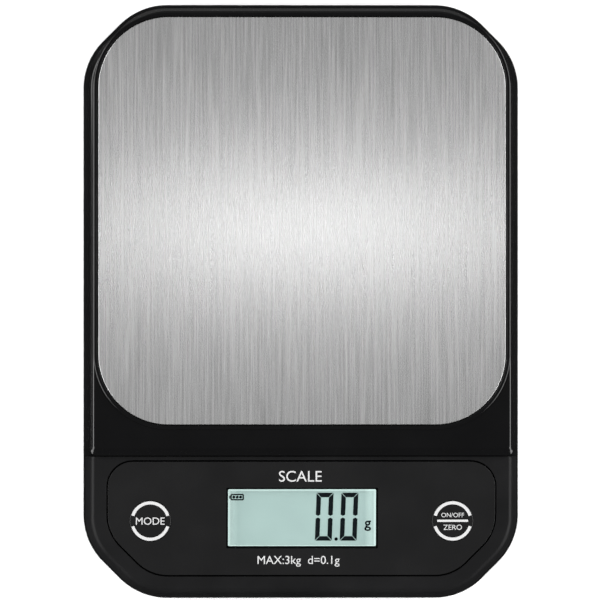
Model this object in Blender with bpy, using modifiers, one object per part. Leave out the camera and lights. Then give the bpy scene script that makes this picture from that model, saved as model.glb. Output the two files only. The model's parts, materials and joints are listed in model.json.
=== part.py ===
"""A slim battery kitchen scale with a brushed steel platform.

Millimetre sizes are written as numbers times MM, so every value is in metres. +Z is up, +X is to the
user's right and the control housing is at the -Y front. The origin is under the middle of the scale,
on the surface that its rubber feet stand on.
"""
import math

import bmesh
import bpy
from mathutils import Matrix, Vector

for old_object in list(bpy.data.objects):
    bpy.data.objects.remove(old_object, do_unlink=True)

MM = 0.001
GAP = 0.3 * MM                      # clearance between pieces that touch

# Case footprint
WIDTH = 136.0 * MM
LENGTH = 185.6 * MM
CORNER_CUT = 17.43 * MM             # 45 degree cut across each corner
CORNER_RADIUS = 20.7 * MM           # where a cut meets a side

# Heights above the table
BASE_Z = 1.2 * MM                   # underside of the base
FLOOR_Z = 2.8 * MM                  # inside of the base
PARTING_Z = 8.4 * MM                # top of the base wall
LEDGE_Z = 9.9 * MM                  # ledge under the skirt of the tray
DECK_Z = 15.3 * MM                  # deck under the tray
DECK_SKIN = 1.4 * MM
SKIRT_Z = 10.6 * MM                 # lower edge of the tray
TRAY_UNDER_Z = 15.9 * MM            # underside of the tray's top
PLATE_POCKET_Z = 17.3 * MM
TRAY_Z = 18.1 * MM                  # flat top of the tray
RIM_Z = 18.6 * MM
PLATE_Z = 19.0 * MM                 # top of the steel plate

# Tray and plate
TRAY_SIDE_INSET = 0.7 * MM          # how far the tray stands inside the case outline
TRAY_FRONT = -48.25 * MM
TRAY_FRONT_RADIUS = 3.0 * MM
TRAY_WALL = 1.6 * MM
APRON_Z = 17.2 * MM                 # the skirt's front is upright to here, then slopes back to the flat
APRON_DEPTH = 2.3 * MM              # how far it slopes back
PLATE_SIDE = 127.3 * MM
PLATE_RADIUS = 21.9 * MM
PLATE_CENTRE_Y = 25.2 * MM
PLATE_THICKNESS = 0.8 * MM
RIM_WIDTH = 1.3 * MM
ADHESIVE_SIZE = (120.0 * MM, 120.0 * MM)

# Control housing: its top slopes down to the front
HOUSING_REAR = -48.55 * MM
HOUSING_REAR_Z = 15.6 * MM
PANEL_SLOPE = math.radians(4.0)
PANEL_Y = -67.7 * MM                # middle of the display
PANEL_Z = HOUSING_REAR_Z - (HOUSING_REAR - PANEL_Y) * math.tan(PANEL_SLOPE)
HOUSING_WALL = 1.8 * MM
HOUSING_SKIN = 2.2 * MM
OVERLAY_THICKNESS = 0.3 * MM
OVERLAY_HALF_WIDTH = 60.5 * MM
OVERLAY_REAR = -49.95 * MM
OVERLAY_FRONT = -85.6 * MM
OVERLAY_INSET = 7.17 * MM           # of the case outline that the overlay's front corners follow
OVERLAY_REAR_RADIUS = 7.8 * MM
WINDOW_X = 0.0 * MM
WINDOW_WIDTH = 46.45 * MM
WINDOW_DEPTH = 18.0 * MM
WINDOW_RADIUS = 0.3 * MM
DISPLAY_WIDTH = 52.0 * MM           # of the clear window and the glass cell under it
DISPLAY_DEPTH = 23.0 * MM
BUTTON_X = 47.35 * MM
BUTTON_Y = -68.7 * MM
BUTTON_RADIUS = 6.45 * MM
BUTTON_FLANGE_RADIUS = 7.4 * MM

# Load cell, lengthwise under the middle of the plate
CELL_WIDTH = 12.0 * MM
CELL_LENGTH = 47.0 * MM
CELL_HEIGHT = 6.0 * MM
CELL_Z = 6.3 * MM                   # underside of the beam
CELL_HOLE_RADIUS = 2.1 * MM
CELL_HOLE_SPREAD = 5.5 * MM
BASE_SCREWS_Y = (5.2 * MM, 12.2 * MM)
PLATFORM_SCREWS_Y = (38.2 * MM, 45.2 * MM)
SPACER_SIZE = (12.0 * MM, 14.0 * MM, 1.0 * MM)

# Battery compartment
BATTERY_RADIUS = 5.2 * MM
BATTERY_LENGTH = 44.5 * MM
BATTERY_SPREAD = 5.6 * MM
BATTERY_Z = 8.3 * MM
BOX_Y = -27.0 * MM
BOX_INNER = (53.5 * MM, 23.4 * MM)
BOX_OUTER = (61.0 * MM, 29.6 * MM)
BOX_TOP_Z = 12.0 * MM
DOOR_SIZE = (55.4 * MM, 27.4 * MM, 1.4 * MM)
DOOR_TABS_X = (-17.0 * MM, 17.0 * MM)

# Fasteners and feet
SCREW_RADIUS = 1.4 * MM
SCREW_HOLE = 1.75 * MM
HEAD_RADIUS = 2.7 * MM
HEAD_HOLE = 3.05 * MM
BASE_POST_RADIUS = 4.2 * MM
COVER_POST_RADIUS = 3.4 * MM
BOARD_POST_RADIUS = 2.6 * MM
BOARD_HOLE = 1.4 * MM
CASE_SCREWS = [(side * x, y) for side in (-1, 1)
               for x, y in ((30.0 * MM, 82.0 * MM), (57.0 * MM, -5.0 * MM), (46.0 * MM, -86.0 * MM))]
FOOT_RADIUS = 6.0 * MM
FOOT_SPREAD = (50.0 * MM, 74.0 * MM)
BOARD_SCREWS = [(x, y) for x in (-33.0 * MM, 33.0 * MM) for y in (-9.5 * MM, 9.5 * MM)]

ARC_STEPS = 4                       # segments in each rounded corner
ROUND_STEPS = 16                    # sides of small round pieces

parts = bpy.data.collections.new("kitchen_scale")
guides = bpy.data.collections.new("construction")
for collection in (parts, guides):
    bpy.context.scene.collection.children.link(collection)


def finish(name, colour, roughness, metallic=0.0):
    """Make or reuse a plain material."""
    material = bpy.data.materials.get(name)
    if material is None:
        material = bpy.data.materials.new(name)
        material.use_nodes = True
        shader = material.node_tree.nodes["Principled BSDF"]
        shader.inputs["Base Color"].default_value = (*colour, 1.0)
        shader.inputs["Roughness"].default_value = roughness
        shader.inputs["Metallic"].default_value = metallic
    return material


CASE_BLACK = finish("case_black", (0.012, 0.012, 0.013), 0.35)
TRAY_BLACK = finish("tray_black", (0.008, 0.008, 0.009), 0.12)
STEEL = finish("brushed_steel", (0.62, 0.62, 0.62), 0.32, 1.0)
OVERLAY_BLACK = finish("overlay_black", (0.014, 0.014, 0.015), 0.25)
WINDOW_CLEAR = finish("window_clear", (0.80, 0.84, 0.80), 0.05)
LCD_GREY = finish("lcd_grey", (0.55, 0.60, 0.54), 0.2)
WHITE_PLASTIC = finish("white_plastic", (0.80, 0.80, 0.78), 0.5)
BOARD_GREEN = finish("board_green", (0.02, 0.16, 0.06), 0.5)
CHIP_BLACK = finish("chip_black", (0.015, 0.015, 0.015), 0.45)
ALUMINIUM = finish("aluminium", (0.70, 0.71, 0.72), 0.4, 1.0)
SILICONE = finish("silicone_white", (0.82, 0.82, 0.80), 0.7)
FOAM = finish("adhesive_foam", (0.70, 0.68, 0.60), 0.9)
SCREW_STEEL = finish("zinc_steel", (0.50, 0.50, 0.50), 0.35, 1.0)
CONTACT_NICKEL = finish("contact_nickel", (0.66, 0.63, 0.57), 0.25, 1.0)
RUBBER = finish("rubber_grey", (0.05, 0.05, 0.05), 0.85)
CELL_WRAP = finish("battery_wrap", (0.05, 0.20, 0.34), 0.3)
WIRE_RED = finish("wire_red", (0.45, 0.02, 0.02), 0.45)
WIRE_BLACK = finish("wire_black", (0.02, 0.02, 0.02), 0.45)
WIRE_WHITE = finish("wire_white", (0.70, 0.70, 0.70), 0.45)

panel = bpy.data.objects.new("panel_frame", None)
panel.location = (0.0, PANEL_Y, PANEL_Z)
panel.rotation_euler = (PANEL_SLOPE, 0.0, 0.0)
parts.objects.link(panel)
door_hinge = bpy.data.objects.new("door_hinge_line", None)
door_hinge.location = (0.0, BOX_Y + DOOR_SIZE[1] / 2 + GAP, BASE_Z)
parts.objects.link(door_hinge)


def add_object(name, data, material=None, parent=None, location=(0.0, 0.0, 0.0)):
    """Put a piece in the scale, or, without a material, a shape among the guides."""
    made = bpy.data.objects.new(name, data)
    made.location = location
    if parent is not None:
        made.parent = parent
    if material is None:
        guides.objects.link(made)
        made.hide_render = True
        made.display_type = "WIRE"
    else:
        parts.objects.link(made)
        data.materials.append(material)
    return made


def mesh_object(name, shape, material=None, parent=None, location=(0.0, 0.0, 0.0)):
    """Turn a bmesh into an object whose round faces shade smooth."""
    bmesh.ops.recalc_face_normals(shape, faces=shape.faces)
    mesh = bpy.data.meshes.new(name)
    shape.to_mesh(mesh)
    shape.free()
    mesh.shade_smooth()
    mesh.set_sharp_from_angle(angle=math.radians(35))
    return add_object(name, mesh, material, parent, location)


def block(name, size, centre, material=None, parent=None, bevel=0.0):
    shape = bmesh.new()
    bmesh.ops.create_cube(shape, size=1.0)
    bmesh.ops.scale(shape, vec=size, verts=shape.verts)
    made = mesh_object(name, shape, material, parent, centre)
    if bevel:
        edge = made.modifiers.new("edge", "BEVEL")
        edge.width = bevel
        edge.segments = 2
    return made


def disc(name, radius, low, high, place, material=None, parent=None):
    """A round post from height low to height high, centred on place (x, y)."""
    shape = bmesh.new()
    bmesh.ops.create_cone(shape, cap_ends=True, segments=ROUND_STEPS, radius1=radius,
                          radius2=radius, depth=high - low)
    return mesh_object(name, shape, material, parent, (place[0], place[1], (low + high) / 2))


def turned(name, profile, material, parent=None, location=(0.0, 0.0, 0.0)):
    """A solid turned about Z from a profile of (radius, height), from its top down."""
    shape = bmesh.new()
    line = [shape.verts.new((radius, 0.0, height)) for radius, height in profile]
    for upper, lower in zip(line, line[1:]):
        shape.edges.new((upper, lower))
    mesh = bpy.data.meshes.new(name)
    shape.to_mesh(mesh)
    shape.free()
    made = add_object(name, mesh, material, parent, location)
    lathe = made.modifiers.new("lathe", "SCREW")
    lathe.steps = ROUND_STEPS
    lathe.render_steps = ROUND_STEPS
    lathe.use_merge_vertices = True
    lathe.merge_threshold = 0.00001
    return made


def rounded(corners, radii):
    """Round the corners of a convex outline that runs anticlockwise."""
    points = []
    for index, (corner, radius) in enumerate(zip(corners, radii)):
        here = Vector(corner)
        back = (Vector(corners[index - 1]) - here).normalized()
        ahead = (Vector(corners[(index + 1) % len(corners)]) - here).normalized()
        half_angle = back.angle(ahead) / 2
        centre = here + (back + ahead).normalized() * radius / math.sin(half_angle)
        start = here + back * radius / math.tan(half_angle) - centre
        turn = math.pi - 2 * half_angle
        for step in range(ARC_STEPS + 1):
            points.append(centre + Matrix.Rotation(turn * step / ARC_STEPS, 2) @ start)
    return points


def rectangle(width, depth, radius, centre=(0.0, 0.0)):
    x, y = centre
    corners = [(x + right * width / 2, y + rear * depth / 2)
               for right, rear in ((-1, -1), (1, -1), (1, 1), (-1, 1))]
    return rounded(corners, [radius] * 4)


def circle(radius, centre):
    return [Vector(centre) + Matrix.Rotation(math.tau * step / ROUND_STEPS, 2) @ Vector((radius, 0.0))
            for step in range(ROUND_STEPS)]


def cut_corner(inset):
    """Size of the 45 degree corner cut on an outline that is inset from the case."""
    return CORNER_CUT - inset * (2 - math.sqrt(2))


def case_outline(inset):
    """The full footprint of the scale, inset all round."""
    x, y, cut = WIDTH / 2 - inset, LENGTH / 2 - inset, cut_corner(inset)
    corners = [(cut - x, -y), (x - cut, -y), (x, cut - y), (x, y - cut),
               (x - cut, y), (cut - x, y), (-x, y - cut), (-x, cut - y)]
    return rounded(corners, [CORNER_RADIUS - inset] * 8)


def tray_outline(inset, front_inset=None):
    """The tray's edge, inset all round: the case outline with a straight front."""
    side = inset + TRAY_SIDE_INSET
    x, y, cut = WIDTH / 2 - side, LENGTH / 2 - side, cut_corner(side)
    front = TRAY_FRONT + (inset if front_inset is None else front_inset)
    corners = [(-x, front), (x, front), (x, y - cut), (x - cut, y), (cut - x, y), (-x, y - cut)]
    front_radius = max(TRAY_FRONT_RADIUS - inset, 0.6 * MM)
    return rounded(corners, [front_radius] * 2 + [CORNER_RADIUS - side] * 4)


def housing_outline(inset, rear):
    """The control housing's outline: the front of the case as far back as rear."""
    x, y, cut = WIDTH / 2 - inset, LENGTH / 2 - inset, cut_corner(inset)
    corners = [(cut - x, -y), (x - cut, -y), (x, cut - y), (x, rear), (-x, rear), (-x, cut - y)]
    rear_radius = 0.5 * MM
    front_radius = CORNER_RADIUS - inset
    return rounded(corners, [front_radius] * 3 + [rear_radius] * 2 + [front_radius])


def overlay_outline(inset):
    """The overlay's outline in the panel's own plane."""
    case_inset = OVERLAY_INSET + inset
    x, cut = OVERLAY_HALF_WIDTH - inset, cut_corner(case_inset)
    front = (OVERLAY_FRONT - PANEL_Y) / math.cos(PANEL_SLOPE) + inset
    rear = (OVERLAY_REAR - PANEL_Y) / math.cos(PANEL_SLOPE) - inset
    corners = [(cut - x, front), (x - cut, front), (x, front + cut), (x, rear), (-x, rear), (-x, front + cut)]
    front_radius = CORNER_RADIUS - case_inset
    rear_radius = OVERLAY_REAR_RADIUS - inset
    return rounded(corners, [front_radius] * 3 + [rear_radius] * 2 + [front_radius])


def loft(name, sections, material=None, parent=None):
    """A solid through outlines of equal point counts; a height is a number or a function of y."""
    shape = bmesh.new()
    rings = []
    for outline, height in sections:
        ring = [shape.verts.new((x, y, height(y) if callable(height) else height)) for x, y in outline]
        rings.append(ring)
    shape.faces.new(rings[0])
    shape.faces.new(rings[-1])
    for lower, upper in zip(rings, rings[1:]):
        for index in range(len(lower)):
            shape.faces.new((lower[index - 1], lower[index], upper[index], upper[index - 1]))
    return mesh_object(name, shape, material, parent)


def sheet(name, outlines, low, high, material, parent=None):
    """A flat piece from an outer outline and the outlines of its holes."""
    curve = bpy.data.curves.new(name, "CURVE")
    curve.dimensions = "2D"
    curve.fill_mode = "BOTH"
    curve.extrude = (high - low) / 2
    for outline in outlines:
        spline = curve.splines.new("POLY")
        spline.points.add(len(outline) - 1)
        for point, (x, y) in zip(spline.points, outline):
            point.co = (x, y, 0.0, 1.0)
        spline.use_cyclic_u = True
    return add_object(name, curve, material, parent, (0.0, 0.0, (low + high) / 2))


def smooth_route(stops, steps=5):
    """Points on a smooth curve through the stops (Catmull-Rom)."""
    stops = [Vector(stop) for stop in stops]
    padded = [2 * stops[0] - stops[1], *stops, 2 * stops[-1] - stops[-2]]
    route = [stops[0]]
    for before, start, end, after in zip(padded, padded[1:], padded[2:], padded[3:]):
        for step in range(1, steps + 1):
            t = step / steps
            route.append(0.5 * (2 * start + (end - before) * t
                                + (2 * before - 5 * start + 4 * end - after) * t ** 2
                                + (3 * start - before - 3 * end + after) * t ** 3))
    return route


def wire(name, route, radius, material, location=(0.0, 0.0, 0.0)):
    """A round wire along a route."""
    curve = bpy.data.curves.new(name, "CURVE")
    curve.dimensions = "3D"
    curve.bevel_depth = radius
    curve.bevel_resolution = 2
    curve.use_fill_caps = True
    spline = curve.splines.new("POLY")
    spline.points.add(len(route) - 1)
    for point, place in zip(spline.points, route):
        point.co = (*place, 1.0)
    return add_object(name, curve, material, None, location)


def join(piece, *tools):
    for tool in tools:
        union = piece.modifiers.new("add_" + tool.name, "BOOLEAN")
        union.operation = "UNION"
        union.object = tool


def cut(piece, *tools):
    for tool in tools:
        difference = piece.modifiers.new("cut_" + tool.name, "BOOLEAN")
        difference.operation = "DIFFERENCE"
        difference.object = tool


def below_panel(depth):
    """Height, as a function of y, of the plane that lies depth under the housing's top."""
    return lambda y: PANEL_Z + (y - PANEL_Y) * math.tan(PANEL_SLOPE) - depth / math.cos(PANEL_SLOPE)


def on_panel(x, y):
    """A plan position as (x, y) in the panel's own plane."""
    return x, (y - PANEL_Y) / math.cos(PANEL_SLOPE)


# Base shell: a shallow tub with rounded lower edges, screw posts and the battery box
base_shell = loft("base_shell", [
    (case_outline(3.4 * MM), BASE_Z),
    (case_outline(1.6 * MM), BASE_Z + 0.7 * MM),
    (case_outline(0.5 * MM), BASE_Z + 2.2 * MM),
    (case_outline(0.0), BASE_Z + 4.4 * MM),
    (case_outline(0.0), PARTING_Z),
    (case_outline(HOUSING_WALL), PARTING_Z),
    (case_outline(HOUSING_WALL), FLOOR_Z + 1.6 * MM),
    (case_outline(HOUSING_WALL + 1.4 * MM), FLOOR_Z),
], CASE_BLACK)
box_height = BOX_TOP_Z - 2.0 * MM
join(base_shell,
     block("battery_box", (*BOX_OUTER, box_height), (0.0, BOX_Y, BOX_TOP_Z - box_height / 2)),
     block("cell_seat", (16.0 * MM, 16.0 * MM, 2.7 * MM), (0.0, sum(BASE_SCREWS_Y) / 2, 3.35 * MM)))
for index, place in enumerate(CASE_SCREWS):
    join(base_shell, disc("base_post_%d" % index, BASE_POST_RADIUS, 2.0 * MM, 8.0 * MM, place))
cut(base_shell,
    block("battery_pocket", (*BOX_INNER, 20.0 * MM), (0.0, BOX_Y, 8.0 * MM)),
    block("door_recess", (DOOR_SIZE[0] + 2 * GAP, DOOR_SIZE[1] + 2 * GAP, 4.0 * MM),
          (0.0, BOX_Y, BASE_Z + DOOR_SIZE[2] + GAP - 2.0 * MM)),
    disc("finger_notch", 7.0 * MM, 0.0, 2.2 * MM, (0.0, BOX_Y - DOOR_SIZE[1] / 2)))
for x in DOOR_TABS_X:
    cut(base_shell, block("tab_slot", (7.0 * MM, 4.6 * MM, 2.8 * MM), (x, BOX_Y + 13.8 * MM, 4.2 * MM)))
for index, place in enumerate(CASE_SCREWS):
    cut(base_shell, disc("case_hole_%d" % index, SCREW_HOLE, 0.0, 9.0 * MM, place),
        disc("case_head_%d" % index, HEAD_HOLE, 0.0, 3.8 * MM, place))
for y in BASE_SCREWS_Y:
    cut(base_shell, disc("seat_hole", SCREW_HOLE, 0.0, 6.0 * MM, (0.0, y)),
        disc("seat_head", HEAD_HOLE, 0.0, 2.9 * MM, (0.0, y)))
for y in PLATFORM_SCREWS_Y:
    cut(base_shell, disc("access_hole", HEAD_HOLE, 0.0, 6.0 * MM, (0.0, y)))
for side, x in (("left", -FOOT_SPREAD[0]), ("right", FOOT_SPREAD[0])):
    for end, y in (("front", -FOOT_SPREAD[1]), ("rear", FOOT_SPREAD[1])):
        cut(base_shell, disc("foot_recess", FOOT_RADIUS + GAP, 0.0, BASE_Z + 0.5 * MM, (x, y)))
        turned("foot_%s_%s" % (end, side), [
            (0.0, BASE_Z + 0.2 * MM), (FOOT_RADIUS, BASE_Z + 0.2 * MM), (FOOT_RADIUS, 0.5 * MM),
            (FOOT_RADIUS - 0.5 * MM, 0.0), (0.0, 0.0)], RUBBER, None, (x, y, 0.0))

# Upper cover: ledge, deck under the tray and sloped control housing, open underneath
upper_cover = loft("upper_cover", [
    (case_outline(0.0), PARTING_Z + GAP),
    (case_outline(0.0), LEDGE_Z - 0.3 * MM),
    (case_outline(0.3 * MM), LEDGE_Z),
], CASE_BLACK)
deck_inset = TRAY_WALL + 2.0 * MM
join(upper_cover,
     loft("deck_outside", [
         (tray_outline(deck_inset), PARTING_Z + 0.5 * MM),
         (tray_outline(deck_inset + 0.3 * MM), DECK_Z - 0.5 * MM),
         (tray_outline(deck_inset + 0.8 * MM), DECK_Z)]),
     loft("housing_outside", [
         (housing_outline(0.2 * MM, HOUSING_REAR), PARTING_Z + 0.5 * MM),
         (housing_outline(0.3 * MM, HOUSING_REAR), LEDGE_Z + 0.2 * MM),
         (housing_outline(2.0 * MM, HOUSING_REAR), below_panel(0.7 * MM)),
         (housing_outline(2.6 * MM, HOUSING_REAR - 0.3 * MM), below_panel(0.0))]))
housing_inner_rear = HOUSING_REAR - TRAY_WALL
cut(upper_cover,
    loft("deck_inside", [
        (tray_outline(deck_inset + TRAY_WALL), PARTING_Z - 1.0 * MM),
        (tray_outline(deck_inset + TRAY_WALL + 0.4 * MM), DECK_Z - DECK_SKIN)]),
    loft("housing_inside", [
        (housing_outline(HOUSING_WALL, housing_inner_rear), PARTING_Z - 1.0 * MM),
        (housing_outline(HOUSING_WALL + 0.2 * MM, housing_inner_rear), LEDGE_Z),
        (housing_outline(HOUSING_WALL + 2.2 * MM, housing_inner_rear), below_panel(HOUSING_SKIN))]))
for index, place in enumerate(CASE_SCREWS):
    post_top = 12.0 * MM if place[1] < HOUSING_REAR else 14.5 * MM
    join(upper_cover, disc("cover_post_%d" % index, COVER_POST_RADIUS, 8.3 * MM, post_top, place))
for index, place in enumerate(BOARD_SCREWS):
    join(upper_cover, disc("board_post_%d" % index, BOARD_POST_RADIUS, -6.8 * MM, -1.6 * MM, place, None,
                           panel))
for index, place in enumerate(CASE_SCREWS):
    cut(upper_cover, disc("post_hole_%d" % index, SCREW_HOLE, 7.0 * MM, 11.75 * MM, place))
for index, place in enumerate(BOARD_SCREWS):
    cut(upper_cover, disc("board_hole_%d" % index, BOARD_HOLE, -8.0 * MM, -3.2 * MM, place, None, panel))
recess_depth = OVERLAY_THICKNESS + GAP
opening_size = (DISPLAY_WIDTH + 2 * GAP, DISPLAY_DEPTH + 2 * GAP)
cut(upper_cover,
    loft("overlay_recess", [(overlay_outline(-GAP), -recess_depth), (overlay_outline(-GAP), 2.0 * MM)],
         None, panel),
    block("display_opening", (*opening_size, 8.0 * MM), (WINDOW_X, 0.0, -1.0 * MM), None, panel),
    block("boss_opening", (16.0 * MM, 18.0 * MM, 6.0 * MM),
          (0.0, sum(PLATFORM_SCREWS_Y) / 2, DECK_Z)))
for side in (-1, 1):
    cut(upper_cover, disc("button_hole", BUTTON_RADIUS + GAP, -4.0 * MM, 4.0 * MM,
                          on_panel(side * BUTTON_X, BUTTON_Y), None, panel))

# Weighing tray: an inverted pan with a drafted skirt, a rim round the plate and a boss for the load cell
weighing_tray = loft("weighing_tray", [
    (tray_outline(TRAY_WALL + 1.2 * MM), TRAY_UNDER_Z),
    (tray_outline(TRAY_WALL), SKIRT_Z),
    (tray_outline(0.0), SKIRT_Z),
    (tray_outline(1.4 * MM, 0.1 * MM), APRON_Z),
    (tray_outline(1.7 * MM, APRON_DEPTH * 0.6), TRAY_Z - 0.35 * MM),
    (tray_outline(2.1 * MM, APRON_DEPTH), TRAY_Z),
], TRAY_BLACK)
plate_centre = (0.0, PLATE_CENTRE_Y)
pocket_side = PLATE_SIDE + 2 * GAP
pocket_radius = PLATE_RADIUS + GAP
rim_side = pocket_side + 2 * RIM_WIDTH
boss_y = sum(PLATFORM_SCREWS_Y) / 2
rim_outline = rectangle(rim_side, rim_side, pocket_radius + RIM_WIDTH, plate_centre)
pocket_outline = rectangle(pocket_side, pocket_side, pocket_radius, plate_centre)
join(weighing_tray,
     loft("rim_outside", [(rim_outline, TRAY_Z - 0.5 * MM), (rim_outline, RIM_Z)]),
     block("tray_boss", (12.6 * MM, 14.6 * MM, 2.6 * MM), (0.0, boss_y, 15.2 * MM)))
cut(weighing_tray, loft("plate_pocket", [(pocket_outline, PLATE_POCKET_Z), (pocket_outline, 21.0 * MM)]))
for y in PLATFORM_SCREWS_Y:
    cut(weighing_tray, disc("boss_hole", SCREW_HOLE, 13.0 * MM, 15.4 * MM, (0.0, y)))

# Steel plate on its adhesive sheet
sheet("platform_plate", [rectangle(PLATE_SIDE, PLATE_SIDE, PLATE_RADIUS, plate_centre)],
      PLATE_Z - PLATE_THICKNESS, PLATE_Z, STEEL)
sheet("platform_adhesive", [rectangle(*ADHESIVE_SIZE, 18.0 * MM, plate_centre)],
      PLATE_POCKET_Z + GAP, PLATE_Z - PLATE_THICKNESS - GAP, FOAM)

# Control overlay with openings for the display and the two buttons, and the clear window under it
button_places = {"mode": on_panel(-BUTTON_X, BUTTON_Y), "zero": on_panel(BUTTON_X, BUTTON_Y)}
overlay_holes = [circle(BUTTON_RADIUS + GAP, place) for place in button_places.values()]
overlay_holes.append(rectangle(WINDOW_WIDTH, WINDOW_DEPTH, WINDOW_RADIUS, (WINDOW_X, 0.0)))
sheet("control_overlay", [overlay_outline(0.0), *overlay_holes], -OVERLAY_THICKNESS, 0.0,
      OVERLAY_BLACK, panel)
block("display_window", (DISPLAY_WIDTH, DISPLAY_DEPTH, 0.8 * MM), (WINDOW_X, 0.0, -1.0 * MM), WINDOW_CLEAR,
      panel)

# Display: glass cell, white frame, light guide and elastomer connector
block("lcd_glass", (DISPLAY_WIDTH, DISPLAY_DEPTH, 2.2 * MM), (WINDOW_X, 0.0, -2.8 * MM), LCD_GREY, panel)
sheet("lcd_frame", [rectangle(57.0 * MM, 27.4 * MM, 1.0 * MM, (WINDOW_X, 0.0)),
                    rectangle(*opening_size, 0.4 * MM, (WINDOW_X, 0.0))],
      -6.8 * MM, -2.5 * MM, WHITE_PLASTIC, panel)
block("backlight_guide", (50.0 * MM, 17.0 * MM, 1.8 * MM), (WINDOW_X, -2.0 * MM, -5.1 * MM),
      WHITE_PLASTIC, panel)
block("zebra_strip", (48.0 * MM, 2.4 * MM, 2.6 * MM), (WINDOW_X, 9.6 * MM, -5.5 * MM), SILICONE, panel)

# Main board with its chips and sockets, hung from the cover by four screws
board_outline = rectangle(106.0 * MM, 25.6 * MM, 1.5 * MM, (0.0, -0.5 * MM))
sheet("main_board", [board_outline, *[circle(BOARD_HOLE, place) for place in BOARD_SCREWS]],
      -8.7 * MM, -7.1 * MM, BOARD_GREEN, panel)
turned("controller_chip", [(0.0, -9.0 * MM), (5.0 * MM, -9.0 * MM), (4.6 * MM, -9.6 * MM),
                           (3.2 * MM, -10.1 * MM), (0.0, -10.3 * MM)], CHIP_BLACK, panel)
block("adc_chip", (9.9 * MM, 3.9 * MM, 1.5 * MM), (24.0 * MM, 3.0 * MM, -9.75 * MM), CHIP_BLACK, panel,
      0.2 * MM)
socket_x = 40.0 * MM
for name, x, width in (("battery_socket", -socket_x, 6.0 * MM), ("load_cell_socket", socket_x, 8.0 * MM)):
    block(name, (width, 4.0 * MM, 2.5 * MM), (x, 10.0 * MM, -5.55 * MM), WHITE_PLASTIC, panel, 0.2 * MM)
for index, (x, y) in enumerate(BOARD_SCREWS):
    turned("board_screw_%d" % (index + 1), [
        (0.0, -4.0 * MM), (1.0 * MM, -4.0 * MM), (1.0 * MM, -9.0 * MM), (2.1 * MM, -9.0 * MM),
        (1.8 * MM, -10.0 * MM), (0.0, -10.0 * MM)], SCREW_STEEL, panel, (x, y, 0.0))

# Buttons over tactile switches; a cap, and the plunger it presses, move straight into the panel
for name, (x, y) in button_places.items():
    turned(name + "_button", [
        (0.0, 0.0), (BUTTON_RADIUS - 0.2 * MM, 0.0), (BUTTON_RADIUS, -0.2 * MM),
        (BUTTON_RADIUS, -2.5 * MM), (BUTTON_FLANGE_RADIUS, -2.5 * MM),
        (BUTTON_FLANGE_RADIUS, -3.3 * MM), (0.0, -3.3 * MM)], OVERLAY_BLACK, panel, (x, y, 0.0))
    switch = block(name + "_switch", (6.0 * MM, 6.0 * MM, 2.9 * MM), (x, y, -5.35 * MM), CHIP_BLACK, panel)
    cut(switch, disc(name + "_switch_bore", 2.0 * MM, -5.7 * MM, -3.0 * MM, (x, y), None, panel))
    turned(name + "_switch_plunger", [
        (0.0, -3.6 * MM), (1.5 * MM, -3.6 * MM), (1.7 * MM, -3.8 * MM), (1.7 * MM, -5.1 * MM),
        (0.0, -5.1 * MM)], WHITE_PLASTIC, panel, (x, y, 0.0))

# Load cell: an aluminium beam thinned by two joined holes, with sealed gauges above and below
cell_middle_z = CELL_Z + CELL_HEIGHT / 2
load_cell = block("load_cell", (CELL_WIDTH, CELL_LENGTH, CELL_HEIGHT), (0.0, PLATE_CENTRE_Y, cell_middle_z),
                  ALUMINIUM)
for side in (-1, 1):
    cross_hole = disc("cross_hole", CELL_HOLE_RADIUS, -10.0 * MM, 10.0 * MM, (0.0, 0.0))
    cross_hole.location = (0.0, PLATE_CENTRE_Y + side * CELL_HOLE_SPREAD, cell_middle_z)
    cross_hole.rotation_euler = (0.0, math.pi / 2, 0.0)
    cut(load_cell, cross_hole)
cut(load_cell, block("cross_slot", (20.0 * MM, 2 * CELL_HOLE_SPREAD, 1.6 * MM),
                     (0.0, PLATE_CENTRE_Y, cell_middle_z)))
for y in (*BASE_SCREWS_Y, *PLATFORM_SCREWS_Y):
    cut(load_cell, disc("cell_hole", SCREW_HOLE, 5.0 * MM, 14.0 * MM, (0.0, y)))
gauge_size = (9.0 * MM, 19.0 * MM, 0.9 * MM)
for name, z in (("gauge_coating_top", CELL_Z + CELL_HEIGHT + GAP + gauge_size[2] / 2),
                ("gauge_coating_bottom", CELL_Z - GAP - gauge_size[2] / 2)):
    block(name, gauge_size, (0.0, PLATE_CENTRE_Y, z), SILICONE, None, 0.3 * MM)
for name, screws_y, low in (("base_spacer", BASE_SCREWS_Y, CELL_Z - GAP - SPACER_SIZE[2]),
                            ("platform_spacer", PLATFORM_SCREWS_Y, CELL_Z + CELL_HEIGHT + GAP)):
    spacer = rectangle(SPACER_SIZE[0], SPACER_SIZE[1], 0.8 * MM, (0.0, sum(screws_y) / 2))
    sheet(name, [spacer, *[circle(SCREW_HOLE, (0.0, y)) for y in screws_y]], low, low + SPACER_SIZE[2],
          SCREW_STEEL)


def pan_head_screw(name, place, head_low, head_high, tip):
    """A screw driven up from below: pan head, then shank up to the tip."""
    turned(name, [(0.0, tip), (SCREW_RADIUS - 0.3 * MM, tip), (SCREW_RADIUS, tip - 0.6 * MM),
                  (SCREW_RADIUS, head_high), (HEAD_RADIUS, head_high), (HEAD_RADIUS, head_low + 0.5 * MM),
                  (HEAD_RADIUS - 0.6 * MM, head_low), (0.0, head_low)],
           SCREW_STEEL, None, (*place, 0.0))


for index, place in enumerate(CASE_SCREWS):
    pan_head_screw("case_screw_%d" % (index + 1), place, 1.9 * MM, 3.5 * MM, 11.4 * MM)
for name, y in zip(("front", "rear"), BASE_SCREWS_Y):
    pan_head_screw("base_end_screw_" + name, (0.0, y), 1.3 * MM, 2.6 * MM, 11.6 * MM)
for name, y in zip(("front", "rear"), PLATFORM_SCREWS_Y):
    pan_head_screw("platform_end_screw_" + name, (0.0, y), 4.4 * MM, 6.0 * MM, 15.1 * MM)

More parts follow.
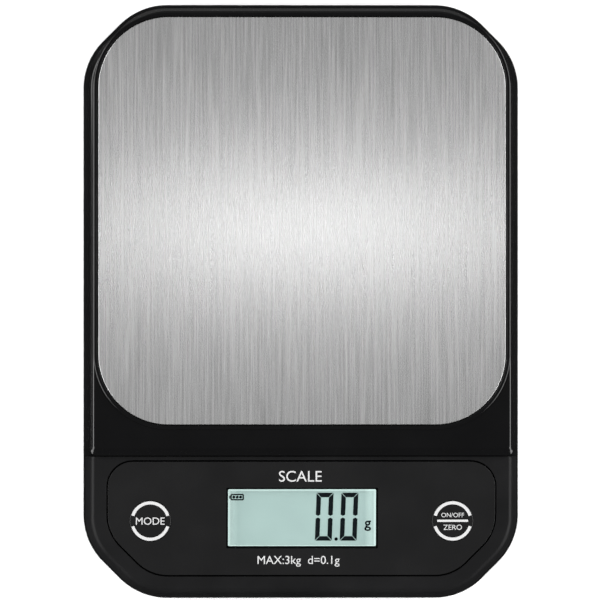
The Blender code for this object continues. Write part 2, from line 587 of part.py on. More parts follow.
# Battery door: flat cover with two hook tabs at the rear and a latch lip at the front
door_middle_y = -DOOR_SIZE[1] / 2 - GAP
battery_door = loft("battery_door", [
    (rectangle(DOOR_SIZE[0], DOOR_SIZE[1], 1.5 * MM, (0.0, door_middle_y)), 0.0),
    (rectangle(DOOR_SIZE[0], DOOR_SIZE[1], 1.5 * MM, (0.0, door_middle_y)), DOOR_SIZE[2]),
], CASE_BLACK, door_hinge)
for x in DOOR_TABS_X:
    join(battery_door,
         block("tab_post", (6.0 * MM, 1.4 * MM, 1.9 * MM), (x, -1.2 * MM, 1.75 * MM), None, door_hinge),
         block("tab_lip", (5.9 * MM, 3.0 * MM, 0.8 * MM), (x, -0.1 * MM, 2.3 * MM), None, door_hinge))
latch_y = -DOOR_SIZE[1] - GAP
join(battery_door, block("latch_lip", (8.0 * MM, 2.4 * MM, 0.7 * MM), (0.0, latch_y, 0.45 * MM), None,
                         door_hinge))
for side in (-1, 1):
    cut(battery_door, block("latch_slit", (0.8 * MM, 7.0 * MM, 4.0 * MM),
                            (side * 5.0 * MM, latch_y + 3.4 * MM, 0.0), None, door_hinge))

# Two AAA cells side by side, facing opposite ways
for name, side in (("battery_front", -1), ("battery_rear", 1)):
    half = BATTERY_LENGTH / 2
    cell = turned(name, [
        (0.0, half), (1.8 * MM, half), (1.9 * MM, half - 0.1 * MM), (1.9 * MM, half - 1.1 * MM),
        (BATTERY_RADIUS - 0.5 * MM, half - 1.1 * MM), (BATTERY_RADIUS, half - 1.6 * MM),
        (BATTERY_RADIUS, 0.5 * MM - half), (BATTERY_RADIUS - 0.5 * MM, -half), (0.0, -half)], CELL_WRAP)
    cell.location = (side * 3.45 * MM, BOX_Y + side * BATTERY_SPREAD, BATTERY_Z)
    cell.rotation_euler = (0.0, side * math.pi / 2, 0.0)

# Contact plates against the end walls of the box, and a conical spring behind each cell
plate_x = BOX_INNER[0] / 2 - 0.55 * MM
for name, x, y, width in (("contact_positive", -plate_x, BOX_Y - BATTERY_SPREAD, 8.6 * MM),
                          ("contact_negative", -plate_x, BOX_Y + BATTERY_SPREAD, 8.6 * MM),
                          ("contact_bridge", plate_x, BOX_Y, 20.0 * MM)):
    block(name, (0.4 * MM, width, 9.6 * MM), (x, y, BATTERY_Z), CONTACT_NICKEL)
spring_turns = 3.5
spring_points = 36
spring_length = 5.5 * MM
for name, side in (("contact_spring", -1), ("bridge_spring", 1)):
    coil = []
    for step in range(spring_points + 1):
        share = step / spring_points
        angle = math.tau * spring_turns * share
        reach = (3.7 - 1.4 * share) * MM
        coil.append((-side * spring_length * share, reach * math.cos(angle), reach * math.sin(angle)))
    start = (side * (plate_x - 0.9 * MM), BOX_Y - side * BATTERY_SPREAD, BATTERY_Z)
    wire(name, coil, 0.3 * MM, CONTACT_NICKEL, start)

# Leads: battery plates to their socket and load cell to its socket, held inside the case
socket_rear = (12.0 * MM + GAP, -5.2 * MM)
entry_y = PANEL_Y + socket_rear[0] * math.cos(PANEL_SLOPE) - socket_rear[1] * math.sin(PANEL_SLOPE)
entry_z = PANEL_Z + socket_rear[0] * math.sin(PANEL_SLOPE) + socket_rear[1] * math.cos(PANEL_SLOPE)
for name, start_y, lane, end_x, material in (
        ("battery_lead_red", BOX_Y - BATTERY_SPREAD, 33.2 * MM, 38.8 * MM, WIRE_RED),
        ("battery_lead_black", BOX_Y + BATTERY_SPREAD, 35.4 * MM, 41.2 * MM, WIRE_BLACK)):
    wire(name, smooth_route([
        (-plate_x - 0.5 * MM, start_y, 12.95 * MM), (-plate_x - 5.2 * MM, start_y, 12.9 * MM),
        (-lane, start_y - 2.0 * MM, 9.0 * MM), (-lane, start_y - 5.0 * MM, 6.0 * MM),
        (-lane - 1.0 * MM, -44.0 * MM, 6.0 * MM), (-end_x, -50.2 * MM, 7.0 * MM),
        (-end_x, -53.2 * MM, 9.4 * MM), (-end_x, entry_y, entry_z)]), 0.55 * MM, material)
wire("load_cell_cable", smooth_route([
    (CELL_WIDTH / 2 + 0.9 * MM, 26.0 * MM, 9.3 * MM), (CELL_WIDTH / 2 + 1.2 * MM, 18.0 * MM, 9.0 * MM),
    (12.0 * MM, 4.0 * MM, 6.0 * MM), (30.0 * MM, -6.0 * MM, 4.6 * MM), (34.0 * MM, -16.0 * MM, 4.6 * MM),
    (34.0 * MM, -38.0 * MM, 5.0 * MM), (socket_x - 1.0 * MM, -50.0 * MM, 6.8 * MM),
    (socket_x, -53.0 * MM, 9.5 * MM), (socket_x, entry_y, entry_z)]), 0.8 * MM, WIRE_WHITE)
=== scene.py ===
import json
import math

import bmesh
import bpy
from mathutils import Matrix, Vector


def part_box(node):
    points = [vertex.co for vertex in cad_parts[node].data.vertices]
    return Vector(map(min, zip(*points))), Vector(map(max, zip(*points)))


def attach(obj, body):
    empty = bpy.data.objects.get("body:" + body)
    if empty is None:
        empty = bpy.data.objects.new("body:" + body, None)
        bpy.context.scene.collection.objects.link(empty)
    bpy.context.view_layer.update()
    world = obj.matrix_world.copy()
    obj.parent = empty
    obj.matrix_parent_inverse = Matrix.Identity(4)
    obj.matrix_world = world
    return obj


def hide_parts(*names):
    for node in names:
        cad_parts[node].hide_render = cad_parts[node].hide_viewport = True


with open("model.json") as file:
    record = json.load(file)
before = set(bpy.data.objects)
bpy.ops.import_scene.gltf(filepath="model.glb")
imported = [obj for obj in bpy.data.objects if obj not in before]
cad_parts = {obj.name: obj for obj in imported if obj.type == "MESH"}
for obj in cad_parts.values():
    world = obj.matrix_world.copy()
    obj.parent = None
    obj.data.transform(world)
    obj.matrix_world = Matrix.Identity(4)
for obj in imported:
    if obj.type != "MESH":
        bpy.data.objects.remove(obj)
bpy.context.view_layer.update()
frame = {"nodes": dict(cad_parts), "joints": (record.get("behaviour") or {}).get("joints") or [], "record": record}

# ------------------------------------------------------------------------------------------------
# Base shell. The lower half of the case, moulded in black ABS with turned-in lower edges. It carries
# the screw posts, the load cell's seat and the battery box, and is closed from below by six screws.
# ------------------------------------------------------------------------------------------------
MM = 0.001
base_low, base_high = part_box("base_shell")
half_width, half_length = base_high.x, base_high.y
corner_cut = 17.43 * MM
corner_radius = 20.7 * MM
base_floor = base_low.z + 1.6 * MM
inside_floor = 2.0 * MM      # added walls and posts start within the floor's thickness
below_base = -2.0 * MM       # cutters start clear below it
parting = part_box("upper_cover")[0].z - 0.3 * MM
wall = 1.8 * MM


def round_corners(corners, radii, closed=True, steps=14):
    """Swap each corner of an outline or a path for an arc; the ends of a path stay sharp."""
    points = []
    for index, (corner, radius) in enumerate(zip(corners, radii)):
        here = Vector(corner)
        if radius <= 0 or not closed and index in (0, len(corners) - 1):
            points.append(here)
            continue
        back = (Vector(corners[index - 1]) - here).normalized()
        ahead = (Vector(corners[(index + 1) % len(corners)]) - here).normalized()
        half = back.angle(ahead) / 2
        centre = here + (back + ahead).normalized() * radius / math.sin(half)
        first = here + back * radius / math.tan(half) - centre
        last = here + ahead * radius / math.tan(half) - centre
        sweep = math.pi - 2 * half
        for step in range(steps + 1):
            turned = step / steps * sweep
            arm = first * math.sin(sweep - turned) + last * math.sin(turned)
            points.append(centre + arm / math.sin(sweep))
    return points


def cut_corner(inset):
    """Size of the 45 degree cut across a corner, for an outline inset from the case."""
    return corner_cut - inset * (2 - math.sqrt(2))


def case_outline(inset):
    x, y, cut = half_width - inset, half_length - inset, cut_corner(inset)
    corners = [(cut - x, -y), (x - cut, -y), (x, cut - y), (x, y - cut),
               (x - cut, y), (cut - x, y), (-x, y - cut), (-x, cut - y)]
    return round_corners(corners, [corner_radius - inset] * 8)


def rectangle(width, depth, radius, centre=(0.0, 0.0), steps=14):
    x, y = centre
    corners = [(x + right * width / 2, y + rear * depth / 2)
               for right, rear in ((-1, -1), (1, -1), (1, 1), (-1, 1))]
    return round_corners(corners, [radius] * 4, steps=steps)


def circle(radius, centre=(0.0, 0.0), steps=48):
    x, y = centre
    return [Vector((x + radius * math.cos(math.tau * step / steps),
                    y + radius * math.sin(math.tau * step / steps))) for step in range(steps)]


def mesh_piece(name, shape, place=None, crease=28):
    """Make a piece from a bmesh, shaded smooth but for edges sharper than crease degrees."""
    bmesh.ops.recalc_face_normals(shape, faces=shape.faces)
    mesh = bpy.data.meshes.new(name)
    shape.to_mesh(mesh)
    shape.free()
    if place is not None:
        mesh.transform(place)
    mesh.shade_smooth()
    mesh.set_sharp_from_angle(angle=math.radians(crease))
    piece = bpy.data.objects.new(name, mesh)
    bpy.context.scene.collection.objects.link(piece)
    return piece


def loft(name, sections, place=None, closed=False):
    """A skin through outlines of equal point counts. A height is a number or a function of y."""
    shape = bmesh.new()
    rings = []
    for outline, height in sections:
        rings.append([shape.verts.new((x, y, height(y) if callable(height) else height))
                      for x, y in outline])
    pairs = list(zip(rings, rings[1:]))
    if closed:
        pairs.append((rings[-1], rings[0]))
    else:
        shape.faces.new(rings[0])
        shape.faces.new(rings[-1])
    for lower, upper in pairs:
        for index in range(len(lower)):
            shape.faces.new((lower[index - 1], lower[index], upper[index], upper[index - 1]))
    return mesh_piece(name, shape, place)


def prism(name, outline, low, high, place=None):
    return loft(name, [(outline, low), (outline, high)], place)


def post(name, radius, low, high, centre, place=None):
    return prism(name, circle(radius, centre), low, high, place)


def flared(name, radius, low, high, centre, flare):
    """A round cutter that leaves a small chamfer of size flare at its mouth, which is at low."""
    return loft(name, [(circle(radius + flare, centre), low - flare), (circle(radius + flare, centre), low),
                       (circle(radius, centre), low + flare), (circle(radius, centre), high)])


def shaped(piece, tools, operation):
    """Join tools to a piece or cut them from it for good, and remove them."""
    for tool in tools:
        step = piece.modifiers.new("shape", "BOOLEAN")
        step.operation = operation
        step.solver = "MANIFOLD"
        step.object = tool
    evaluated = piece.evaluated_get(bpy.context.evaluated_depsgraph_get())
    ready = bpy.data.meshes.new_from_object(evaluated)
    piece.modifiers.clear()
    piece.data = ready
    for tool in tools:
        bpy.data.objects.remove(tool)
    return piece


def settle(piece, crease=28):
    """Clean the faces that cutting leaves and keep flat faces flat in the shading."""
    shape = bmesh.new()
    shape.from_mesh(piece.data)
    bmesh.ops.remove_doubles(shape, verts=shape.verts, dist=0.000002)
    bmesh.ops.dissolve_degenerate(shape, edges=shape.edges, dist=0.000002)
    shape.to_mesh(piece.data)
    shape.free()
    piece.data.shade_smooth()
    piece.data.set_sharp_from_angle(angle=math.radians(crease))
    even = piece.modifiers.new("even_shading", "WEIGHTED_NORMAL")
    even.keep_sharp = True
    even.weight = 100
    return piece


def link_node(tree, kind, inputs=None, **settings):
    """Add a shader node, with values or links for its sockets."""
    node = tree.nodes.new(kind)
    for key, value in settings.items():
        setattr(node, key, value)
    for key, value in (inputs or {}).items():
        if isinstance(value, bpy.types.NodeSocket):
            tree.links.new(value, node.inputs[key])
        else:
            node.inputs[key].default_value = value
    return node


def blank_material(name, roughness=0.5, metallic=0.0):
    material = bpy.data.materials.new(name)
    material.use_nodes = True
    shader = material.node_tree.nodes["Principled BSDF"]
    shader.inputs["Roughness"].default_value = roughness
    shader.inputs["Metallic"].default_value = metallic
    return material, material.node_tree, shader


def stretched_noise(tree, scale, detail=2.0, stretch=(1.0, 1.0, 1.0)):
    """Noise over the object's own coordinates, with its grain stretched where stretch is small."""
    place = link_node(tree, "ShaderNodeTexCoord").outputs["Object"]
    mapped = link_node(tree, "ShaderNodeMapping", {"Vector": place, "Scale": stretch}).outputs["Vector"]
    noise = link_node(tree, "ShaderNodeTexNoise", {"Vector": mapped, "Scale": scale, "Detail": detail})
    return noise.outputs["Fac"]


def ranged(tree, source, low, high, source_low=0.3, source_high=0.7):
    return link_node(tree, "ShaderNodeMapRange", {
        "Value": source, "From Min": source_low, "From Max": source_high, "To Min": low, "To Max": high,
    }).outputs["Result"]


def blended(tree, factor, first, second):
    """One colour fading to another."""
    mix = link_node(tree, "ShaderNodeMix", {"Factor": factor}, data_type="RGBA")
    for socket, colour in ((mix.inputs[6], first), (mix.inputs[7], second)):
        if isinstance(colour, bpy.types.NodeSocket):
            tree.links.new(colour, socket)
        else:
            socket.default_value = (*colour, 1.0)
    return mix.outputs[2]


def bumped(tree, shader, height, distance, strength=1.0):
    bump = link_node(tree, "ShaderNodeBump", {"Height": height, "Distance": distance, "Strength": strength})
    tree.links.new(bump.outputs["Normal"], shader.inputs["Normal"])


def moulded(name, colour, roughness, grain=0.25 * MM, relief=0.004 * MM, cloud=0.15, shine=0.4):
    """Moulded plastic: spark-eroded grain, faint flow clouds and a slightly uneven gloss."""
    material, tree, shader = blank_material(name, roughness)
    clouds = stretched_noise(tree, 60.0, 3.0)
    darker = tuple(channel * (1 - cloud) for channel in colour)
    lighter = tuple(channel * (1 + cloud) for channel in colour)
    tree.links.new(blended(tree, ranged(tree, clouds, 0.0, 1.0), darker, lighter),
                   shader.inputs["Base Color"])
    tree.links.new(ranged(tree, clouds, roughness * 0.9, roughness * 1.1), shader.inputs["Roughness"])
    bumped(tree, shader, stretched_noise(tree, 1.0 / grain, 2.0), relief)
    shader.inputs["Specular IOR Level"].default_value = shine
    return material


case_plastic = moulded("satin_black_abs", (0.0068, 0.0068, 0.0071), 0.40, shine=0.09)


def dressed(piece, material, body, node=None):
    """Give a piece its finish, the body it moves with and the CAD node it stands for."""
    piece.data.materials.clear()
    piece.data.materials.append(material)
    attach(piece, body)
    if node is not None:
        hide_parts(node)
    return piece


def middle(box):
    """Where the middle of a node's box is, seen from above."""
    low, high = box
    return (low.x + high.x) / 2, (low.y + high.y) / 2


turned_in, turned_up = 3.4 * MM, 4.4 * MM
lower_edge = [(turned_in * (1 - math.sin(turn)), base_low.z + turned_up * (1 - math.cos(turn)))
              for turn in (math.radians(step * 10) for step in range(10))]
wall_path = round_corners(
    [(0.0, base_low.z + 4.6 * MM), (0.0, parting), (wall, parting), (wall, base_floor + 1.6 * MM),
     (wall + 1.4 * MM, base_floor)],
    [0.0, 0.1 * MM, 0.1 * MM, 0.8 * MM, 0.0], closed=False, steps=4)
base = loft("moulded_base", [(case_outline(inset), height) for inset, height in lower_edge + wall_path])

box_middle = middle(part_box("contact_bridge"))[1]
box_top = 12.0 * MM
screw_places = [middle(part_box("case_screw_%d" % number)) for number in range(1, 7)]
seat_screws = [middle(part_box("base_end_screw_" + end))[1] for end in ("front", "rear")]
boss_screws = [middle(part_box("platform_end_screw_" + end))[1] for end in ("front", "rear")]
seat_middle, boss_middle = (0.0, sum(seat_screws) / 2), (0.0, sum(boss_screws) / 2)
seat_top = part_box("base_spacer")[0].z - 0.3 * MM
door_low, door_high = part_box("battery_door")
door_depth = 27.4 * MM
door_width = door_high.x - door_low.x
hooks_x = (-17.0 * MM, 17.0 * MM)
screw_hole = 1.75 * MM
head_hole = 3.05 * MM
head_mouth = base_low.z - 0.05 * MM
gap = 0.3 * MM
# outside of the battery box, the load cell's seat, the screw posts, then stiffening ribs on the floor
shaped(base, [
    prism("tool", rectangle(61.0 * MM, 29.6 * MM, 1.0 * MM, (0.0, box_middle)), inside_floor, box_top),
    prism("tool", rectangle(16.0 * MM, 16.0 * MM, 1.5 * MM, seat_middle), inside_floor, seat_top),
    *[post("tool", 4.2 * MM, inside_floor, 8.0 * MM, centre) for centre in screw_places],
    *[prism("tool", rectangle(1.0 * MM, 44.0 * MM, 0.4 * MM, (x, 42.0 * MM)), inside_floor, 4.4 * MM)
      for x in (-30.0 * MM, 30.0 * MM)],
    *[prism("tool", rectangle(74.0 * MM, 1.0 * MM, 0.4 * MM, (0.0, y)), inside_floor, 3.9 * MM)
      for y in (58.0 * MM, 70.0 * MM)],
], "UNION")
foot_boxes = {}
for end in ("front", "rear"):
    for side in ("left", "right"):
        foot_boxes["foot_%s_%s" % (end, side)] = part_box("foot_%s_%s" % (end, side))
# inside of the battery box, the door's seat, the finger notch and the two slots for the door's hooks
tools = [
    prism("tool", rectangle(53.5 * MM, 23.4 * MM, 0.5 * MM, (0.0, box_middle)), below_base, 14.0 * MM),
    prism("tool", rectangle(door_width + 2 * gap, door_depth + 2 * gap, 1.6 * MM, (0.0, box_middle)),
          below_base, base_low.z + 1.7 * MM),
    flared("tool", 7.0 * MM, base_low.z - 0.2 * MM, 2.2 * MM, (0.0, box_middle - door_depth / 2), 0.3 * MM),
    *[prism("tool", rectangle(7.0 * MM, 4.6 * MM, 0.3 * MM, (x, box_middle + 13.8 * MM)),
            2.8 * MM, 5.6 * MM) for x in hooks_x],
]
for centre in screw_places:
    tools += [post("tool", screw_hole, 0.0, 9.0 * MM, centre),
              flared("tool", head_hole, head_mouth, 3.8 * MM, centre, 0.25 * MM)]
for y in seat_screws:
    tools += [post("tool", screw_hole, 0.0, 6.0 * MM, (0.0, y)),
              flared("tool", head_hole, head_mouth, 2.9 * MM, (0.0, y), 0.2 * MM)]
for y in boss_screws:
    tools.append(flared("tool", head_hole, head_mouth, 6.0 * MM, (0.0, y), 0.2 * MM))
for low, high in foot_boxes.values():
    tools.append(post("tool", (high.x - low.x) / 2 + gap, 0.0, base_low.z + 0.5 * MM, middle((low, high))))
shaped(base, tools, "DIFFERENCE")
dressed(settle(base), case_plastic, "case", "base_shell")

# ------------------------------------------------------------------------------------------------
# Upper cover. The top half of the case in the same black ABS: a ledge and deck that lie hidden
# under the weighing tray, and at the front the control housing, whose top slopes down to the user.
# ------------------------------------------------------------------------------------------------
cover_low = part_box("upper_cover")[0]
press_axis = Vector(next(joint for joint in frame["joints"] if joint["name"] == "mode_press")["axis"])
panel_slope = math.atan2(-press_axis.y, press_axis.z)
overlay_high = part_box("control_overlay")[1]
film = 0.3 * MM
rear_top_y = overlay_high.y - film * math.sin(panel_slope)
panel_y = -67.7 * MM
panel_z = overlay_high.z - (rear_top_y - panel_y) * math.tan(panel_slope)
panel = Matrix.Translation((0.0, panel_y, panel_z)) @ Matrix.Rotation(panel_slope, 4, "X")
ledge = 9.9 * MM
deck_top = 15.3 * MM
tray_low, tray_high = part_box("weighing_tray")
tray_inset = half_width - tray_high.x
tray_front = tray_low.y
housing_rear = tray_front - 0.16 * MM


def tray_outline(inset, front_inset=None):
    """The tray's edge inset all round: the case outline with a straight front."""
    side = inset + tray_inset
    x, y, cut = half_width - side, half_length - side, cut_corner(side)
    front = tray_front + (inset if front_inset is None else front_inset)
    corners = [(-x, front), (x, front), (x, y - cut), (x - cut, y), (cut - x, y), (-x, y - cut)]
    return round_corners(corners, [max(3.0 * MM - inset, 0.6 * MM)] * 2 + [corner_radius - side] * 4)


def housing_outline(inset, rear, rear_radius=0.5 * MM):
    """The control housing's outline: the front of the case as far back as rear."""
    x, y, cut = half_width - inset, half_length - inset, cut_corner(inset)
    corners = [(cut - x, -y), (x - cut, -y), (x, cut - y), (x, rear), (-x, rear), (-x, cut - y)]
    radius = corner_radius - inset
    return round_corners(corners, [radius] * 3 + [rear_radius] * 2 + [radius])


def below_panel(depth):
    """Height, as a function of y, of the plane that lies depth under the housing's top."""
    return lambda y: panel_z + (y - panel_y) * math.tan(panel_slope) - depth / math.cos(panel_slope)


def on_panel(x, y):
    return x, (y - panel_y) / math.cos(panel_slope)


cover_edge = round_corners([(0.6 * MM, cover_low.z), (0.0, cover_low.z), (0.0, ledge), (0.9 * MM, ledge)],
                           [0.0, 0.1 * MM, 0.12 * MM, 0.0], closed=False, steps=3)
cover = loft("moulded_cover", [(case_outline(inset), height) for inset, height in cover_edge])
deck_inset = 3.6 * MM
deck_edge = round_corners([(deck_inset, ledge - 0.8 * MM), (deck_inset + 0.3 * MM, deck_top),
                           (deck_inset + 1.6 * MM, deck_top)], [0.0, 0.8 * MM, 0.0], closed=False, steps=5)
housing_foot = ledge + 0.2 * MM


def up_the_side(share):
    """Height, as a function of y, at a share of the way from the ledge to the housing's top."""
    return lambda y: housing_foot + (below_panel(0.0)(y) - housing_foot) * share


housing_sections = [(housing_outline(0.45 * MM, housing_rear), cover_low.z + 0.4 * MM),
                    (housing_outline(0.5 * MM, housing_rear), housing_foot)]
shoulder = round_corners([(0.2 * MM, 0.0), (1.9 * MM, 3.0 * MM), (4.2 * MM, 3.0 * MM)],
                         [0.0, 2.0 * MM, 0.0], closed=False, steps=10)
for inset, climb in shoulder[1:]:
    rear = housing_rear - 0.3 * MM * (inset / (4.2 * MM)) ** 3
    housing_sections.append((housing_outline(inset + 0.3 * MM, rear), up_the_side(climb / (3.0 * MM))))
shaped(cover, [
    loft("tool", [(tray_outline(inset), height) for inset, height in deck_edge]),
    loft("tool", housing_sections),
], "UNION")
inner_rear = housing_rear - 1.6 * MM
shaped(cover, [
    loft("tool", [(tray_outline(deck_inset + 1.6 * MM), cover_low.z - 1.3 * MM),
                  (tray_outline(deck_inset + 2.0 * MM), deck_top - 1.4 * MM)]),
    loft("tool", [(housing_outline(wall, inner_rear), cover_low.z - 1.3 * MM),
                  (housing_outline(wall + 0.15 * MM, inner_rear), ledge - 0.55 * MM),
                  (housing_outline(wall + 2.2 * MM, inner_rear), below_panel(2.2 * MM))]),
], "DIFFERENCE")
board_screws = [(x * MM, y * MM) for x in (-33.0, 33.0) for y in (-9.5, 9.5)]
shaped(cover, [
    *[post("tool", 3.4 * MM, 8.3 * MM, 12.0 * MM if centre[1] < housing_rear else 14.5 * MM, centre)
      for centre in screw_places],
    *[post("tool", 2.6 * MM, -6.8 * MM, -1.6 * MM, centre, panel) for centre in board_screws],
], "UNION")
film_half_width = overlay_high.x + 0.1 * MM
film_border = 7.17 * MM
film_front, film_rear = -85.6 * MM, -50.15 * MM
film_rear_radius = 7.8 * MM


def film_outline(inset):
    """The overlay film's outline in the panel's own plane."""
    x, cut = film_half_width - inset, cut_corner(film_border + inset)
    front, rear = on_panel(0.0, film_front)[1] + inset, on_panel(0.0, film_rear)[1] - inset
    corners = [(cut - x, front), (x - cut, front), (x, front + cut),
               (x, rear), (-x, rear), (-x, front + cut)]
    radius = corner_radius - film_border - inset
    return round_corners(corners, [radius] * 3 + [film_rear_radius - inset] * 2 + [radius])


window_x = middle(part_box("display_window"))[0]
pane_width, pane_depth = 52.0 * MM, 23.0 * MM
button_y = -68.7 * MM
button_radius = 6.45 * MM
caps = {"mode": on_panel(middle(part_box("mode_button"))[0], button_y),
        "zero": on_panel(middle(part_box("zero_button"))[0], button_y)}
shaped(cover, [
    loft("tool", [(film_outline(-0.5 * MM), -1.1 * MM), (film_outline(-0.5 * MM), -0.06 * MM),
                  (film_outline(-0.56 * MM), 0.0), (film_outline(-0.56 * MM), 1.0 * MM)], panel),
    prism("tool", rectangle(pane_width + 2 * gap, pane_depth + 2 * gap, 0.4 * MM, (window_x, 0.0)),
          -5.0 * MM, 3.0 * MM, panel),
    prism("tool", rectangle(16.0 * MM, 18.0 * MM, 1.0 * MM, boss_middle), 12.0 * MM, 18.0 * MM),
    *[post("tool", button_radius + gap, -4.0 * MM, 4.0 * MM, centre, panel) for centre in caps.values()],
    *[post("tool", screw_hole, 7.0 * MM, 11.75 * MM, centre) for centre in screw_places],
    *[post("tool", 1.4 * MM, -8.0 * MM, -3.2 * MM, centre, panel) for centre in board_screws],
], "DIFFERENCE")
dressed(settle(cover), case_plastic, "case", "upper_cover")

# ------------------------------------------------------------------------------------------------
# Weighing tray. An inverted pan of polished black ABS with a drafted skirt. A slim raised rim frames
# the steel plate, and a boss underneath is screwed to the free end of the load cell.
# ------------------------------------------------------------------------------------------------
tray_flat = 18.1 * MM
plate_low, plate_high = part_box("platform_plate")
plate_middle = (0.0, (plate_low.y + plate_high.y) / 2)
plate_side = plate_high.x - plate_low.x
plate_radius = 21.9 * MM
pocket_floor = 17.3 * MM
tray_plastic = moulded("polished_black_abs", (0.0029, 0.0029, 0.0031), 0.12, 1.6 * MM, 0.0015 * MM, 0.1)
apron = 17.2 * MM        # the front of the skirt is upright to here, then slopes back to the flat
outer_path = round_corners([(0.0, tray_low.z), (1.85 * MM, tray_flat), (3.4 * MM, tray_flat)],
                           [0.0, 0.75 * MM, 0.0], closed=False, steps=8)
tray_sections = [(tray_outline(4.0 * MM), 15.9 * MM), (tray_outline(2.8 * MM), 15.9 * MM),
                 (tray_outline(1.6 * MM), tray_low.z + 0.15 * MM), (tray_outline(1.5 * MM), tray_low.z),
                 (tray_outline(0.12 * MM, 0.12 * MM), tray_low.z),
                 (tray_outline(0.02 * MM, 0.0), tray_low.z + 0.12 * MM),
                 (tray_outline(1.35 * MM, 0.03 * MM), apron)]
for inset, height in outer_path[1:]:
    climb = max(0.0, height - apron) / (tray_flat - apron)
    beyond = max(0.0, inset - 2.4 * MM) * 0.6
    tray_sections.append((tray_outline(inset, 0.06 * MM + 2.3 * MM * climb + beyond), height))
tray = loft("tray_moulding", tray_sections)
rim_width = 1.3 * MM


def plate_outline(grow):
    """The plate's rounded square, grown all round."""
    side = plate_side + 2 * grow
    return rectangle(side, side, plate_radius + grow, plate_middle, steps=24)


rim_path = round_corners([(gap + rim_width, tray_flat - 0.5 * MM), (gap + rim_width, tray_high.z),
                          (-1.0 * MM, tray_high.z)], [0.0, 0.35 * MM, 0.0], closed=False, steps=6)
shaped(tray, [
    loft("tool", [(plate_outline(grow), height) for grow, height in rim_path]),
    prism("tool", rectangle(12.6 * MM, 14.6 * MM, 1.0 * MM, boss_middle), 13.9 * MM, 16.5 * MM),
], "UNION")
shaped(tray, [
    loft("tool", [(plate_outline(gap), pocket_floor), (plate_outline(gap), tray_high.z - 0.25 * MM),
                  (plate_outline(0.55 * MM), tray_high.z), (plate_outline(0.55 * MM), 21.0 * MM)]),
    *[post("tool", screw_hole, 13.0 * MM, 15.4 * MM, (0.0, y)) for y in boss_screws],
], "DIFFERENCE")
dressed(settle(tray), tray_plastic, "platform", "weighing_tray")

# ------------------------------------------------------------------------------------------------
# Platform plate. Stainless sheet, blanked to a rounded square and brushed from front to back, so that
# its fine scratches run along Y. A foam adhesive sheet holds it in the tray.
# ------------------------------------------------------------------------------------------------
plate_path = round_corners(
    [(-2.0 * MM, plate_low.z), (0.0, plate_low.z), (0.0, plate_high.z), (-2.0 * MM, plate_high.z)],
    [0.0, 0.1 * MM, 0.1 * MM, 0.0], closed=False, steps=4)
plate = loft("brushed_plate", [(plate_outline(grow), height) for grow, height in plate_path])
uv = plate.data.uv_layers.new(name="brushing")
for loop in plate.data.loops:
    point = plate.data.vertices[loop.vertex_index].co
    uv.data[loop.index].uv = (point.x / plate_side, point.y / plate_side)


def brushed_steel():
    material, tree, shader = blank_material("brushed_stainless", 0.27, 0.9)
    streaks = stretched_noise(tree, 1.0, 3.0, (2600.0, 34.0, 34.0))
    fine = stretched_noise(tree, 1.0, 2.0, (9000.0, 120.0, 120.0))
    both = link_node(tree, "ShaderNodeMath", {0: streaks, 1: fine}, operation="ADD").outputs[0]
    share = ranged(tree, both, 0.0, 1.0, 0.75, 1.25)
    steel = blended(tree, share, (0.50, 0.50, 0.50), (0.63, 0.63, 0.63))
    tree.links.new(steel, shader.inputs["Base Color"])
    tree.links.new(ranged(tree, streaks, 0.25, 0.29), shader.inputs["Roughness"])
    shader.inputs["Anisotropic"].default_value = 0.6
    tangent = link_node(tree, "ShaderNodeTangent", direction_type="UV_MAP", uv_map="brushing")
    tree.links.new(tangent.outputs["Tangent"], shader.inputs["Tangent"])
    bumped(tree, shader, both, 0.001 * MM, 0.45)
    return material


dressed(settle(plate), brushed_steel(), "platform", "platform_plate")

# ------------------------------------------------------------------------------------------------
# Control overlay. A printed semi-gloss film stuck into the housing's shallow recess, punched for the
# display and the two keys. A matt black bead lies in the groove round it and makes the groove dark,
# and the legends on it are screen-printed in white ink.
# ------------------------------------------------------------------------------------------------
film_path = [(0.0, -film), (0.0, -0.06 * MM), (0.02 * MM, -0.02 * MM), (0.06 * MM, 0.0)]
overlay = loft("overlay_film", [(film_outline(inset), height) for inset, height in film_path], panel)
opening_width, opening_depth = 46.3 * MM, 17.85 * MM
opening_x, opening_y = window_x + 0.2 * MM, -0.08 * MM
punched_edge = 0.6 * MM
shaped(overlay, [
    prism("tool", rectangle(opening_width + 2 * punched_edge, opening_depth + 2 * punched_edge, 0.4 * MM,
                            (opening_x, opening_y)), -1.0 * MM, 1.0 * MM, panel),
    *[post("tool", button_radius + 0.1 * MM, -1.0 * MM, 1.0 * MM, centre, panel)
      for centre in caps.values()],
], "DIFFERENCE")
film_black = moulded("overlay_semi_gloss", (0.0068, 0.0068, 0.0070), 0.26, 0.5 * MM, 0.001 * MM, 0.06)
dressed(settle(overlay), film_black, "case", "control_overlay")
# a matt black bead in the groove round the film, which makes the groove read dark
groove_bead_path = [(-0.46 * MM, -0.95 * MM), (-0.46 * MM, -0.5 * MM), (0.0, -0.42 * MM), (0.3 * MM, -0.42 * MM),
             (0.3 * MM, -0.95 * MM)]
groove_bead = loft("dark_groove_bead", [(film_outline(inset), height) for inset, height in groove_bead_path], panel,
                 closed=True)
matt_black = moulded("matt_black_coat", (0.0008, 0.0008, 0.0009), 0.8, 0.3 * MM, 0.002 * MM, 0.1, shine=0.0)
dressed(settle(groove_bead), matt_black, "case")

ink_layer = 0.015 * MM


def white_ink():
    """Screen ink: matt white with a faint mesh texture."""
    material, tree, shader = blank_material("white_screen_ink", 0.55)
    specks = stretched_noise(tree, 9000.0, 2.0)
    white = blended(tree, ranged(tree, specks, 0.0, 1.0), (0.42, 0.42, 0.42), (0.52, 0.52, 0.52))
    tree.links.new(white, shader.inputs["Base Color"])
    bumped(tree, shader, specks, 0.002 * MM)
    return material


ink = white_ink()


